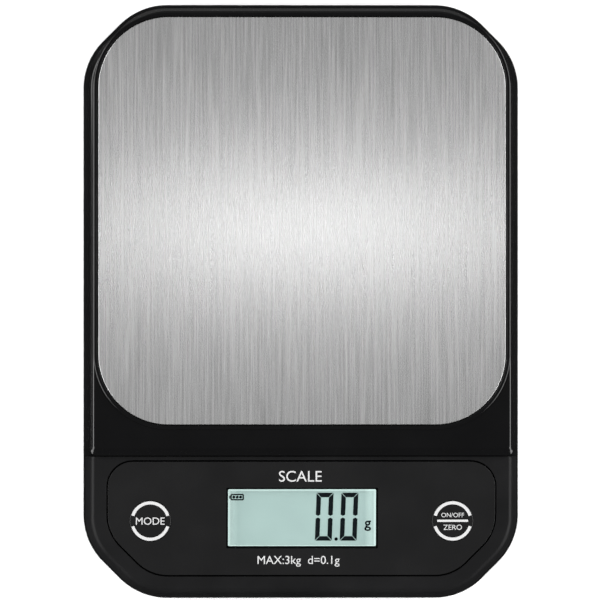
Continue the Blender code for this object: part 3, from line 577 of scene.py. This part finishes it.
def lettering(words, width, centre, thicken=0.0, low=0.0, layer=ink_layer):
    """Letters of a given total width, with their middle at centre."""
    curve = bpy.data.curves.new("letters", "FONT")
    curve.body = words
    curve.size = 1.0
    curve.offset = thicken
    curve.extrude = 0.5
    curve.resolution_u = 6
    holder = bpy.data.objects.new("letters", curve)
    bpy.context.scene.collection.objects.link(holder)
    bpy.context.view_layer.update()
    mesh = bpy.data.meshes.new_from_object(holder.evaluated_get(bpy.context.evaluated_depsgraph_get()))
    bpy.data.objects.remove(holder)
    shape = bmesh.new()
    shape.from_mesh(mesh)
    bpy.data.meshes.remove(mesh)
    bmesh.ops.remove_doubles(shape, verts=shape.verts, dist=0.0001)
    xs = [vert.co.x for vert in shape.verts]
    ys = [vert.co.y for vert in shape.verts]
    factor = width / (max(xs) - min(xs))
    half_x, half_y = (max(xs) + min(xs)) / 2, (max(ys) + min(ys)) / 2
    for vert in shape.verts:
        vert.co = Vector((centre[0] + (vert.co.x - half_x) * factor,
                          centre[1] + (vert.co.y - half_y) * factor, low + (vert.co.z + 0.5) * layer))
    return shape


def gathered(name, shapes, place):
    """Join several printed shapes into one piece."""
    joined = bmesh.new()
    for shape in shapes:
        mesh = bpy.data.meshes.new("part")
        shape.to_mesh(mesh)
        shape.free()
        joined.from_mesh(mesh)
        bpy.data.meshes.remove(mesh)
    return mesh_piece(name, joined, place)


title = [lettering("SCALE", 13.4 * MM, on_panel(-0.4 * MM, -54.7 * MM))]
dressed(gathered("title_print", title, panel), ink, "case")
capacity = [lettering("MAX:3kg  d=0.1g", 25.7 * MM, on_panel(-0.9 * MM, -81.3 * MM))]
dressed(gathered("capacity_print", capacity, panel), ink, "case")

# ------------------------------------------------------------------------------------------------
# Keys. Two round caps of black ABS, flush in the film, each on a tactile switch. A broken ring and the
# key's name are printed on each cap, and a flange under the cover keeps the cap from falling out.
# ------------------------------------------------------------------------------------------------
def lathe(name, profile, centre=(0.0, 0.0), place=None, steps=64):
    """A solid turned about the vertical through centre, from (radius, height) points on its axis."""
    shape = bmesh.new()
    rings = []
    for radius, height in profile:
        if radius < 1e-9:
            rings.append([shape.verts.new((centre[0], centre[1], height))])
        else:
            rings.append([shape.verts.new((*point, height)) for point in circle(radius, centre, steps)])
    for upper, lower in zip(rings, rings[1:]):
        for index in range(steps):
            corners = [upper[index - 1], upper[index]] if len(upper) > 1 else [upper[0]]
            corners += [lower[index], lower[index - 1]] if len(lower) > 1 else [lower[0]]
            shape.faces.new(corners)
    return mesh_piece(name, shape, place)


def ring_arc(outer, thick, start, end, centre, steps=40):
    """A flat printed arc with straight-cut ends."""
    shape = bmesh.new()
    columns = []
    for step in range(steps + 1):
        angle = math.radians(start + (end - start) * step / steps)
        spoke = Vector((math.cos(angle), math.sin(angle)))
        inside = Vector(centre) + spoke * (outer - thick)
        outside = Vector(centre) + spoke * outer
        columns.append([shape.verts.new((*inside, 0.0)), shape.verts.new((*outside, 0.0)),
                        shape.verts.new((*outside, ink_layer)), shape.verts.new((*inside, ink_layer))])
    for first, second in zip(columns, columns[1:]):
        for index in range(4):
            shape.faces.new((first[index - 1], first[index], second[index], second[index - 1]))
    shape.faces.new(columns[0])
    shape.faces.new(columns[-1])
    return shape


def printed_bar(width, height, centre):
    shape = bmesh.new()
    outline = rectangle(width, height, height * 0.3, centre, steps=4)
    rings = [[shape.verts.new((*point, z)) for point in outline] for z in (0.0, ink_layer)]
    for ring in rings:
        shape.faces.new(ring)
    for index in range(len(outline)):
        shape.faces.new((rings[0][index - 1], rings[0][index], rings[1][index], rings[1][index - 1]))
    return shape


ring_outer = 6.18 * MM
ring_thick = 0.95 * MM
ring_gap = 17.0              # degrees that each end of an arc stops short of the key's middle line
flange_radius, flange_top, flange_foot = 7.4 * MM, -2.5 * MM, -3.3 * MM
cap_path = round_corners(
    [(0.0, 0.0), (button_radius, 0.0), (button_radius, flange_top), (flange_radius, flange_top),
     (flange_radius, flange_foot), (0.0, flange_foot)],
    [0.0, 0.18 * MM, 0.1 * MM, 0.15 * MM, 0.15 * MM, 0.0], closed=False, steps=4)
for key, centre in caps.items():
    cap = lathe(key + "_cap", cap_path, centre, panel)
    dressed(settle(cap), film_black, key + "_key", key + "_button")
    arcs = [ring_arc(ring_outer, ring_thick, start + ring_gap, start + 180.0 - ring_gap, centre)
            for start in (0.0, 180.0)]
    if key == "mode":
        words = [lettering("MODE", 9.0 * MM, centre)]
    else:
        upper, lower = centre[1] + 1.85 * MM, centre[1] - 2.0 * MM
        words = [lettering("ON/OFF", 7.1 * MM, (centre[0], upper)),
                 printed_bar(9.7 * MM, 0.7 * MM, (centre[0], centre[1] + 0.05 * MM)),
                 lettering("ZERO", 5.8 * MM, (centre[0], lower))]
    dressed(gathered(key + "_legend", arcs + words, panel), ink, key + "_key")

# ------------------------------------------------------------------------------------------------
# Display. A reflective liquid crystal cell with a clear acrylic pane over it. The film's opening
# frames it, and the dark marks of the battery sign, the figures and the unit lie just in the cell.
# ------------------------------------------------------------------------------------------------
lcd_top = -1.7 * MM
lcd_path = [(0.0, -3.9 * MM), (0.0, lcd_top - 0.1 * MM), (0.1 * MM, lcd_top)]
lcd = loft("lcd_cell", [(rectangle(pane_width - 2 * inset, pane_depth - 2 * inset, 0.3 * MM,
                                   (window_x, 0.0), 4), height) for inset, height in lcd_path], panel)


def lcd_surface():
    """Pale grey-green polariser with painted light in its emission: a faint uneven glow all over, glow rising
    towards the left, right and front edges that lifts the shade cast by the opening's walls, and bright painted
    lines along all four edges.
    """
    material, tree, shader = blank_material("lcd_polariser", 0.35)
    place = link_node(tree, "ShaderNodeTexCoord").outputs["Object"]
    parts = link_node(tree, "ShaderNodeSeparateXYZ", {"Vector": place})
    across, along = parts.outputs["X"], parts.outputs["Y"]
    right, left = opening_x + opening_width / 2, opening_x - opening_width / 2
    middle_y = panel_y + opening_y
    rear, front = middle_y + opening_depth / 2, middle_y - opening_depth / 2
    # painted light: emission rising towards the right, left and front edges lifts the shade cast by the opening's
    # walls, stronger on the right
    painted_edge_glows = [ranged(tree, across, 0.0, 0.28, right - 3.6 * MM, right - 1.4 * MM),
             ranged(tree, across, 0.0, 0.20, left + 3.2 * MM, left + 1.0 * MM),
             ranged(tree, along, 0.0, 0.04, front + 2.4 * MM, front + 0.9 * MM)]
    painted_line_strength = 0.42
    # painted highlight: thin bright glowing lines along the four edges of the opening
    painted_edge_lines = [ranged(tree, across, 0.0, painted_line_strength, right - 0.9 * MM, right - 0.2 * MM),
            ranged(tree, across, 0.0, painted_line_strength, left + 0.9 * MM, left + 0.2 * MM),
            ranged(tree, along, 0.0, painted_line_strength, rear - 0.6 * MM, rear - 0.2 * MM),
            ranged(tree, along, 0.0, painted_line_strength, front + 0.6 * MM, front + 0.2 * MM)]
    # a faint uneven painted glow over the whole cell
    total = ranged(tree, stretched_noise(tree, 90.0, 2.0), 0.0, 0.03)
    for glow in painted_edge_glows:
        total = link_node(tree, "ShaderNodeMath", {0: total, 1: glow}, operation="ADD").outputs[0]
    rim = painted_edge_lines[0]
    for other in painted_edge_lines[1:]:
        rim = link_node(tree, "ShaderNodeMath", {0: rim, 1: other}, operation="MAXIMUM").outputs[0]
    total = link_node(tree, "ShaderNodeMath", {0: total, 1: rim}, operation="ADD").outputs[0]
    cloud = ranged(tree, stretched_noise(tree, 60.0, 1.0), 0.0, 1.0)
    grey_green = blended(tree, cloud, (0.262, 0.362, 0.344), (0.275, 0.38, 0.360))
    tree.links.new(grey_green, shader.inputs["Base Color"])
    shader.inputs["Emission Color"].default_value = (0.78, 0.98, 0.93, 1.0)
    tree.links.new(total, shader.inputs["Emission Strength"])
    return material


dressed(settle(lcd), lcd_surface(), "case", "lcd_glass")


def clear_acrylic():
    """Clear pane: mostly let through, with polished gloss and faint unevenness."""
    material, tree, shader = blank_material("clear_acrylic", 0.05)
    tint = stretched_noise(tree, 200.0, 1.0)
    faint = blended(tree, ranged(tree, tint, 0.0, 1.0), (0.03, 0.04, 0.04), (0.05, 0.06, 0.06))
    tree.links.new(faint, shader.inputs["Base Color"])
    shader.inputs["Alpha"].default_value = 0.03
    shader.inputs["IOR"].default_value = 1.49
    bumped(tree, shader, tint, 0.0005 * MM)
    return material


pane_foot, pane_top = -1.4 * MM, -0.6 * MM
pane_path = round_corners([(2.0 * MM, pane_foot), (0.0, pane_foot), (0.0, pane_top), (2.0 * MM, pane_top)],
                          [0.0, 0.15 * MM, 0.15 * MM, 0.0], closed=False, steps=3)
pane = loft("window_pane", [(rectangle(pane_width - 2 * inset, pane_depth - 2 * inset, 0.5 * MM,
                                       (window_x, 0.0), 4), height) for inset, height in pane_path], panel)
dressed(settle(pane), clear_acrylic(), "case", "display_window")

mask_low, mask_high = -1.62 * MM, -1.46 * MM
mask_outside = rectangle(pane_width - 0.4 * MM, pane_depth - 0.4 * MM, 0.4 * MM, (window_x, 0.0), 5)
mask_inside = rectangle(opening_width, opening_depth, 0.3 * MM, (opening_x, opening_y), 5)
mask = loft("display_mask", [(mask_outside, mask_low), (mask_outside, mask_high), (mask_inside, mask_high),
                             (mask_inside, mask_low)], panel, closed=True)
dressed(settle(mask), matt_black, "case")

segment_layer = 0.03 * MM
digit_width, digit_height, stroke = 5.3 * MM, 15.05 * MM, 1.42 * MM
slant = math.tan(math.radians(2.0))


def segment(points, centre):
    """One dark mark: a flat shape, leaning a little to the right."""
    shape = bmesh.new()
    rings = []
    for height in (lcd_top, lcd_top + segment_layer):
        rings.append([shape.verts.new((centre[0] + x + y * slant, centre[1] + y, height))
                      for x, y in points])
    for ring in rings:
        shape.faces.new(ring)
    for index in range(len(points)):
        shape.faces.new((rings[0][index - 1], rings[0][index], rings[1][index], rings[1][index - 1]))
    return shape


def digit_nought(centre):
    """The six lit bars of a nought, each with mitred ends and a fine slit to the next."""
    x, y, t, slit = digit_width / 2, digit_height / 2, stroke, 0.16 * MM
    top_bar = [(-x + slit, y), (x - slit, y), (x - t - slit * 0.2, y - t), (-x + t + slit * 0.2, y - t)]
    side_bar = [(-x, y - slit), (-x + t, y - t - slit), (-x + t, t * 0.35 + slit), (-x + t / 2, slit * 1.6),
                (-x, t * 0.35 + slit)]
    bars = [top_bar, side_bar]
    bars += [[(-px, py) for px, py in reversed(side_bar)]]
    bars += [[(px, -py) for px, py in reversed(bar)] for bar in list(bars)]
    return [segment(bar, centre) for bar in bars]


marks = []
for digit_x in (7.17 * MM, 14.95 * MM):
    marks += digit_nought(on_panel(digit_x, -67.5 * MM))
dot = circle(0.55 * MM, steps=20)
marks.append(segment(dot, on_panel(10.92 * MM, -74.5 * MM)))
marks.append(lettering("g", 2.1 * MM, on_panel(20.8 * MM, -70.35 * MM), 0.02, lcd_top, segment_layer))
battery_x, battery_y = on_panel(-20.1 * MM, -61.35 * MM)
sign_width, sign_height, line = 4.2 * MM, 2.05 * MM, 0.42 * MM


def box_mark(width, height, thick, centre):
    """A hollow rounded box of a given line thickness."""
    shape = bmesh.new()
    rings = []
    for grow, z in ((0.0, lcd_top), (0.0, lcd_top + segment_layer), (-thick, lcd_top + segment_layer),
                    (-thick, lcd_top)):
        outline = rectangle(width + 2 * grow, height + 2 * grow, max(0.45 * MM + grow, 0.1 * MM), centre, 5)
        rings.append([shape.verts.new((*point, z)) for point in outline])
    for lower, upper in zip(rings, rings[1:] + rings[:1]):
        for index in range(len(lower)):
            shape.faces.new((lower[index - 1], lower[index], upper[index], upper[index - 1]))
    return shape


marks.append(box_mark(sign_width, sign_height, line, (battery_x, battery_y)))
nub = [(x * MM, y * MM) for x, y in ((-0.18, -0.45), (0.18, -0.45), (0.18, 0.45), (-0.18, 0.45))]
marks.append(segment(nub, (battery_x - sign_width / 2 - 0.22 * MM, battery_y)))
for step in (-1, 0, 1):
    bead = [(x * 0.82, y * 0.82) for x, y in dot]
    marks.append(segment(bead, (battery_x + step * 1.05 * MM, battery_y)))


def lcd_ink():
    """Darkened liquid crystal: blue-black, a little uneven."""
    material, tree, shader = blank_material("lcd_dark_marks", 0.4)
    cloud = ranged(tree, stretched_noise(tree, 700.0, 2.0), 0.0, 1.0)
    blue_black = blended(tree, cloud, (0.001, 0.002, 0.003), (0.002, 0.004, 0.005))
    tree.links.new(blue_black, shader.inputs["Base Color"])
    shader.inputs["Specular IOR Level"].default_value = 0.05
    return material


dressed(gathered("lcd_marks", marks, panel), lcd_ink(), "case")

# ------------------------------------------------------------------------------------------------
# Feet. Four discs of grey-black rubber stuck into shallow recesses, each with a soft edge and a
# fine ring moulded in its tread.
# ------------------------------------------------------------------------------------------------
rubber = moulded("foot_rubber", (0.018, 0.018, 0.018), 0.75, 0.35 * MM, 0.02 * MM, 0.2)
for name, (low, high) in foot_boxes.items():
    radius = (high.x - low.x) / 2
    foot_path = round_corners(
        [(0.0, high.z), (radius, high.z), (radius, low.z), (radius - 1.6 * MM, low.z),
         (radius - 1.9 * MM, low.z + 0.25 * MM), (radius - 2.3 * MM, low.z + 0.25 * MM),
         (radius - 2.6 * MM, low.z), (0.0, low.z)],
        [0.0, 0.15 * MM, 0.5 * MM, 0.1 * MM, 0.1 * MM, 0.1 * MM, 0.1 * MM, 0.0], closed=False, steps=4)
    foot = lathe("rubber_" + name, foot_path, middle((low, high)), steps=48)
    dressed(settle(foot), rubber, "case", name)

# ------------------------------------------------------------------------------------------------
# Battery door. A flat lid of the case's ABS that hooks in at the rear and clicks shut at the front
# by a sprung tongue. Grip ribs and a small arrow show where to press.
# ------------------------------------------------------------------------------------------------
hinge = next(joint for joint in frame["joints"] if joint["name"] == "battery_door_hinge")
hinge_place = Matrix.Translation(Vector(hinge["pos_m"]))
door_thick = 1.4 * MM
lid_middle = -door_depth / 2 - gap
lid_path = round_corners([(2.0 * MM, 0.0), (0.0, 0.0), (0.0, door_thick), (2.0 * MM, door_thick)],
                         [0.0, 0.3 * MM, 0.1 * MM, 0.0], closed=False, steps=4)
lid = loft("door_lid", [(rectangle(door_width - 2 * inset, door_depth - 2 * inset, 2.2 * MM - inset,
                                   (0.0, lid_middle), 8), height) for inset, height in lid_path],
           hinge_place)
latch_y = -door_depth - gap


def on_lid(width, depth, radius, centre, low, high, steps=4):
    """A rounded block or cutter placed from the door's hinge."""
    return prism("tool", rectangle(width, depth, radius, centre, steps), low, high, hinge_place)


# the hooks' stems and tips, and the latch
shaped(lid, [
    *[on_lid(6.0 * MM, 1.4 * MM, 0.3 * MM, (x, -1.2 * MM), 0.8 * MM, 2.7 * MM) for x in hooks_x],
    *[on_lid(5.9 * MM, 3.0 * MM, 0.3 * MM, (x, -0.1 * MM), 1.9 * MM, 2.7 * MM) for x in hooks_x],
    on_lid(8.0 * MM, 2.4 * MM, 0.3 * MM, (0.0, latch_y), 0.1 * MM, 0.8 * MM),
], "UNION")
# the slits beside the tongue, its grip ribs, and the arrow
arrow_foot, arrow_tip, arrow_half = latch_y + 9.5 * MM, latch_y + 12.2 * MM, 2.2 * MM
shaped(lid, [
    *[on_lid(0.8 * MM, 7.0 * MM, 0.35 * MM, (x, latch_y + 3.4 * MM), -2.0 * MM, 2.0 * MM, 5)
      for x in (-5.0 * MM, 5.0 * MM)],
    *[on_lid(7.0 * MM, 0.5 * MM, 0.2 * MM, (0.0, latch_y + (3.0 + 1.2 * step) * MM), -1.0 * MM, 0.3 * MM, 3)
      for step in range(3)],
    prism("tool", [(-arrow_half, arrow_foot), (arrow_half, arrow_foot), (0.0, arrow_tip)],
          -1.0 * MM, 0.25 * MM, hinge_place),
], "DIFFERENCE")
dressed(settle(lid), case_plastic, "door", "battery_door")

# ------------------------------------------------------------------------------------------------
# Screws. Zinc-plated pan heads with a cross recess, driven up from below: six hold the case, two each
# end of the load cell, and four small ones hold the main board.
# ------------------------------------------------------------------------------------------------
def metal(name, colour, roughness, streak=(1.0, 1.0, 1.0), scale=1500.0):
    """Bare or plated metal with fine tool marks."""
    material, tree, shader = blank_material(name, roughness, 1.0)
    marks = stretched_noise(tree, scale, 3.0, streak)
    darker = tuple(channel * 0.82 for channel in colour)
    tree.links.new(blended(tree, ranged(tree, marks, 0.0, 1.0), darker, colour),
                   shader.inputs["Base Color"])
    tree.links.new(ranged(tree, marks, roughness * 0.8, roughness * 1.25), shader.inputs["Roughness"])
    bumped(tree, shader, marks, 0.002 * MM)
    return material


zinc = metal("zinc_plate", (0.55, 0.56, 0.58), 0.3)
screws = [("case_screw_%d" % number, "case") for number in range(1, 7)]
screws += [("base_end_screw_" + end, "case") for end in ("front", "rear")]
screws += [("platform_end_screw_" + end, "platform") for end in ("front", "rear")]
screws = [(node, body, 1.4 * MM, 1.6 * MM, None) for node, body in screws]
screws += [("board_screw_%d" % number, "case", 1.0 * MM, 1.0 * MM, panel) for number in range(1, 5)]
pitch = 0.5 * MM
short_screw, low_head = 9.0 * MM, 1.3 * MM
for node, body, shank, head_height, place in screws:
    low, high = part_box(node)
    head_radius = (high.x - low.x) / 2
    if place is None:
        bottom, top, centre = low.z, high.z, middle((low, high))
    else:
        bottom, top, centre = -10.0 * MM, -4.0 * MM, board_screws[int(node[-1]) - 1]
    has_low_head = node.startswith("base_end") or place is None and top - bottom <= short_screw
    head_top = bottom + (low_head if has_low_head else head_height)
    profile = [(0.0, top), (shank * 0.45, top), (shank * 0.8, top - 0.8 * MM)]
    turns = int((top - 1.2 * MM - head_top - 0.4 * MM) / pitch)
    for turn in range(turns):
        crest = top - 1.0 * MM - turn * pitch
        profile += [(shank * 0.8, crest), (shank, crest - pitch / 2)]
    profile += [(shank * 0.8, head_top + 0.15 * MM), (shank * 0.9, head_top)]
    profile += round_corners(
        [(shank * 0.95, head_top), (head_radius, head_top), (head_radius, bottom + 0.3 * MM),
         (head_radius * 0.72, bottom), (0.0, bottom)],
        [0.0, 0.1 * MM, 0.3 * MM, 0.3 * MM, 0.0], closed=False, steps=4)
    screw = lathe(node + "_threaded", profile, centre, place, steps=32)
    arm, slot_width = head_radius * 1.15, head_radius * 0.26
    across = [prism("tool", rectangle(arm, slot_width, slot_width * 0.2, centre, 3), bottom - 1.0 * MM,
                    bottom + head_height * 0.55, place),
              prism("tool", rectangle(slot_width, arm, slot_width * 0.2, centre, 3), bottom - 1.0 * MM,
                    bottom + head_height * 0.56, place)]
    shaped(screw, across, "DIFFERENCE")
    dressed(settle(screw, 40), zinc, body, node)

# ------------------------------------------------------------------------------------------------
# Inner parts. The load cell, boards, contacts, cells and leads keep the shapes they have and get the
# finish of their own material; they are closed in by the case and show only when it is opened.
# ------------------------------------------------------------------------------------------------
def board_green():
    """Solder mask over fine copper tracks."""
    material, tree, shader = blank_material("solder_mask", 0.35)
    tracks = link_node(tree, "ShaderNodeTexBrick", {
        "Vector": link_node(tree, "ShaderNodeTexCoord").outputs["Object"], "Scale": 260.0,
        "Color1": (0.010, 0.10, 0.035, 1.0), "Color2": (0.012, 0.12, 0.04, 1.0),
        "Mortar": (0.03, 0.20, 0.07, 1.0), "Mortar Size": 0.04}, offset=0.37)
    tree.links.new(tracks.outputs["Color"], shader.inputs["Base Color"])
    bumped(tree, shader, tracks.outputs["Fac"], 0.02 * MM)
    return material


def cell_wrap():
    """Printed film round a dry cell: dark blue body with a copper band at the positive end."""
    material, tree, shader = blank_material("cell_wrap", 0.25)
    place = link_node(tree, "ShaderNodeTexCoord").outputs["Object"]
    x = link_node(tree, "ShaderNodeSeparateXYZ", {"Vector": place}).outputs["X"]
    y = link_node(tree, "ShaderNodeSeparateXYZ", {"Vector": place}).outputs["Y"]
    rear = link_node(tree, "ShaderNodeMath", {0: y, 1: box_middle}, operation="GREATER_THAN").outputs[0]
    sign = ranged(tree, rear, -1.0, 1.0, 0.0, 1.0)
    along = link_node(tree, "ShaderNodeMath", {0: x, 1: sign}, operation="MULTIPLY").outputs[0]
    band = link_node(tree, "ShaderNodeMath", {0: along, 1: 12.0 * MM}, operation="GREATER_THAN").outputs[0]
    tip = link_node(tree, "ShaderNodeMath", {0: along, 1: 24.4 * MM}, operation="GREATER_THAN").outputs[0]
    film_colour = blended(tree, band, (0.012, 0.035, 0.11), (0.45, 0.20, 0.07))
    tree.links.new(blended(tree, tip, film_colour, (0.6, 0.58, 0.55)), shader.inputs["Base Color"])
    tree.links.new(ranged(tree, stretched_noise(tree, 400.0), 0.2, 0.32), shader.inputs["Roughness"])
    tree.links.new(ranged(tree, along, 0.35, 1.0, 12.0 * MM, 12.1 * MM), shader.inputs["Metallic"])
    return material


inner_finishes = {
    "adhesive_foam": moulded("foam_tape", (0.45, 0.43, 0.37), 0.9, 0.12 * MM, 0.03 * MM, 0.12),
    "aluminium": metal("milled_aluminium", (0.78, 0.79, 0.80), 0.38, (1.0, 0.06, 1.0), 3000.0),
    "battery_wrap": cell_wrap(),
    "board_green": board_green(),
    "chip_black": moulded("chip_epoxy", (0.012, 0.012, 0.013), 0.5, 0.15 * MM, 0.006 * MM, 0.2),
    "contact_nickel": metal("nickel_plate", (0.68, 0.65, 0.60), 0.22),
    "silicone_white": moulded("white_silicone", (0.60, 0.60, 0.57), 0.6, 1.2 * MM, 0.05 * MM, 0.08),
    "white_plastic": moulded("white_moulding", (0.62, 0.62, 0.60), 0.45, 0.4 * MM, 0.004 * MM, 0.04),
    "wire_black": moulded("black_insulation", (0.015, 0.015, 0.015), 0.4, 0.8 * MM, 0.01 * MM, 0.2),
    "wire_red": moulded("red_insulation", (0.32, 0.012, 0.010), 0.4, 0.8 * MM, 0.01 * MM, 0.15),
    "wire_white": moulded("white_sheath", (0.50, 0.50, 0.48), 0.45, 0.8 * MM, 0.01 * MM, 0.1),
    "zinc_steel": zinc,
}
slot_of = {entry["node"]: entry["material_slot"] for entry in frame["record"]["subparts"]}
for name, node in frame["nodes"].items():
    if not node.hide_render:
        node.data.materials.clear()
        node.data.materials.append(inner_finishes[slot_of[name]])

# ------------------------------------------------------------------------------------------------
# Stage. A plain white table under soft studio light, with the camera nearly straight above. Four weak
# strip lights just over the plate draw the bright band across its brushing.
# ------------------------------------------------------------------------------------------------
table_top = rectangle(6.0, 6.0, 1.0)
floor = loft("table", [(table_top, -20.0 * MM), (table_top, -0.02 * MM)])
floor_material, floor_tree, floor_shader = blank_material("table_white", 0.7)
floor_cloud = ranged(floor_tree, stretched_noise(floor_tree, 4.0, 2.0), 0.0, 1.0)
floor_tree.links.new(blended(floor_tree, floor_cloud, (0.91, 0.91, 0.91), (0.93, 0.93, 0.93)),
                     floor_shader.inputs["Base Color"])
floor_shader.inputs["Emission Color"].default_value = (1.0, 1.0, 1.0, 1.0)
floor_shader.inputs["Emission Strength"].default_value = 0.12
floor.data.materials.append(floor_material)
floor.visible_glossy = False


def soft_light(name, place, aim, size, power):
    """A rectangular softbox aimed at a point, itself unseen."""
    lamp = bpy.data.lights.new(name, "AREA")
    lamp.shape = "RECTANGLE"
    lamp.size, lamp.size_y = size
    lamp.energy = power
    holder = bpy.data.objects.new(name, lamp)
    holder.location = place
    holder.rotation_mode = "QUATERNION"
    holder.rotation_quaternion = (Vector(aim) - Vector(place)).to_track_quat("-Z", "Y")
    holder.visible_camera = False
    bpy.context.scene.collection.objects.link(holder)


for name, softbox_x in (("left_softbox", -1.5), ("right_softbox", 1.5)):
    soft_light(name, (softbox_x, 0.0, 0.9), (0.0, 0.0, 0.0), (2.4, 1.6), 71.0)
band_y = 24.5 * MM
for name, strip_x, strip_z, size, power in (("plate_strip", 0.0185, 0.46, (0.114, 0.01), 0.046),
                                            ("plate_strip_low", 0.007, 0.17, (0.114, 0.006), 0.0009),
                                            ("plate_strip_left", -0.04, 0.17, (0.024, 0.006), 0.0021),
                                            ("plate_strip_right", 0.054, 0.17, (0.024, 0.006), 0.0021)):
    soft_light(name, (strip_x, band_y, strip_z), (strip_x, band_y, 0.0), size, power)

world = bpy.data.worlds.new("studio")
world.use_nodes = True
sky = world.node_tree
heading = link_node(sky, "ShaderNodeTexCoord").outputs["Generated"]
heading = link_node(sky, "ShaderNodeSeparateXYZ", {"Vector": heading})
overhead = ranged(sky, heading.outputs["Z"], 0.0, 1.0, -0.15, 0.6)
behind = ranged(sky, heading.outputs["Y"], 0.0, 1.0, 0.15, 0.5)
low_sky = blended(sky, behind, (0.015, 0.015, 0.015), (0.14, 0.14, 0.14))
open_sky = blended(sky, overhead, low_sky, (0.075, 0.075, 0.075))
band_foot = ranged(sky, heading.outputs["Z"], 0.0, 1.0, 0.1, 0.25)
band_head = ranged(sky, heading.outputs["Z"], 1.0, 0.0, 0.45, 0.62)
band = link_node(sky, "ShaderNodeMath", {0: band_foot, 1: band_head}, operation="MINIMUM").outputs[0]
sky.links.new(blended(sky, band, open_sky, (0.32, 0.32, 0.32)), sky.nodes["Background"].inputs["Color"])
sky.nodes["Background"].inputs["Strength"].default_value = 1.0
bpy.context.scene.world = world
bpy.context.scene.view_settings.view_transform = "Standard"

frame_width = 187.93 * MM
lens_distance = 5.0
reference_height = 9.0 * MM
camera_data = bpy.data.cameras.new("overhead")
camera_data.sensor_width = 36.0
camera_data.lens = camera_data.sensor_width * lens_distance / frame_width
camera_data.clip_end = 20.0
camera = bpy.data.objects.new("overhead", camera_data)
lean = math.radians(2.3)
target = Vector((-0.27 * MM, 0.45 * MM, reference_height))
camera.location = target + lens_distance * Vector((-math.sin(lean), 0.0, math.cos(lean)))
camera.rotation_euler = (0.0, -lean, 0.0)
bpy.context.scene.collection.objects.link(camera)
bpy.context.scene.camera = camera
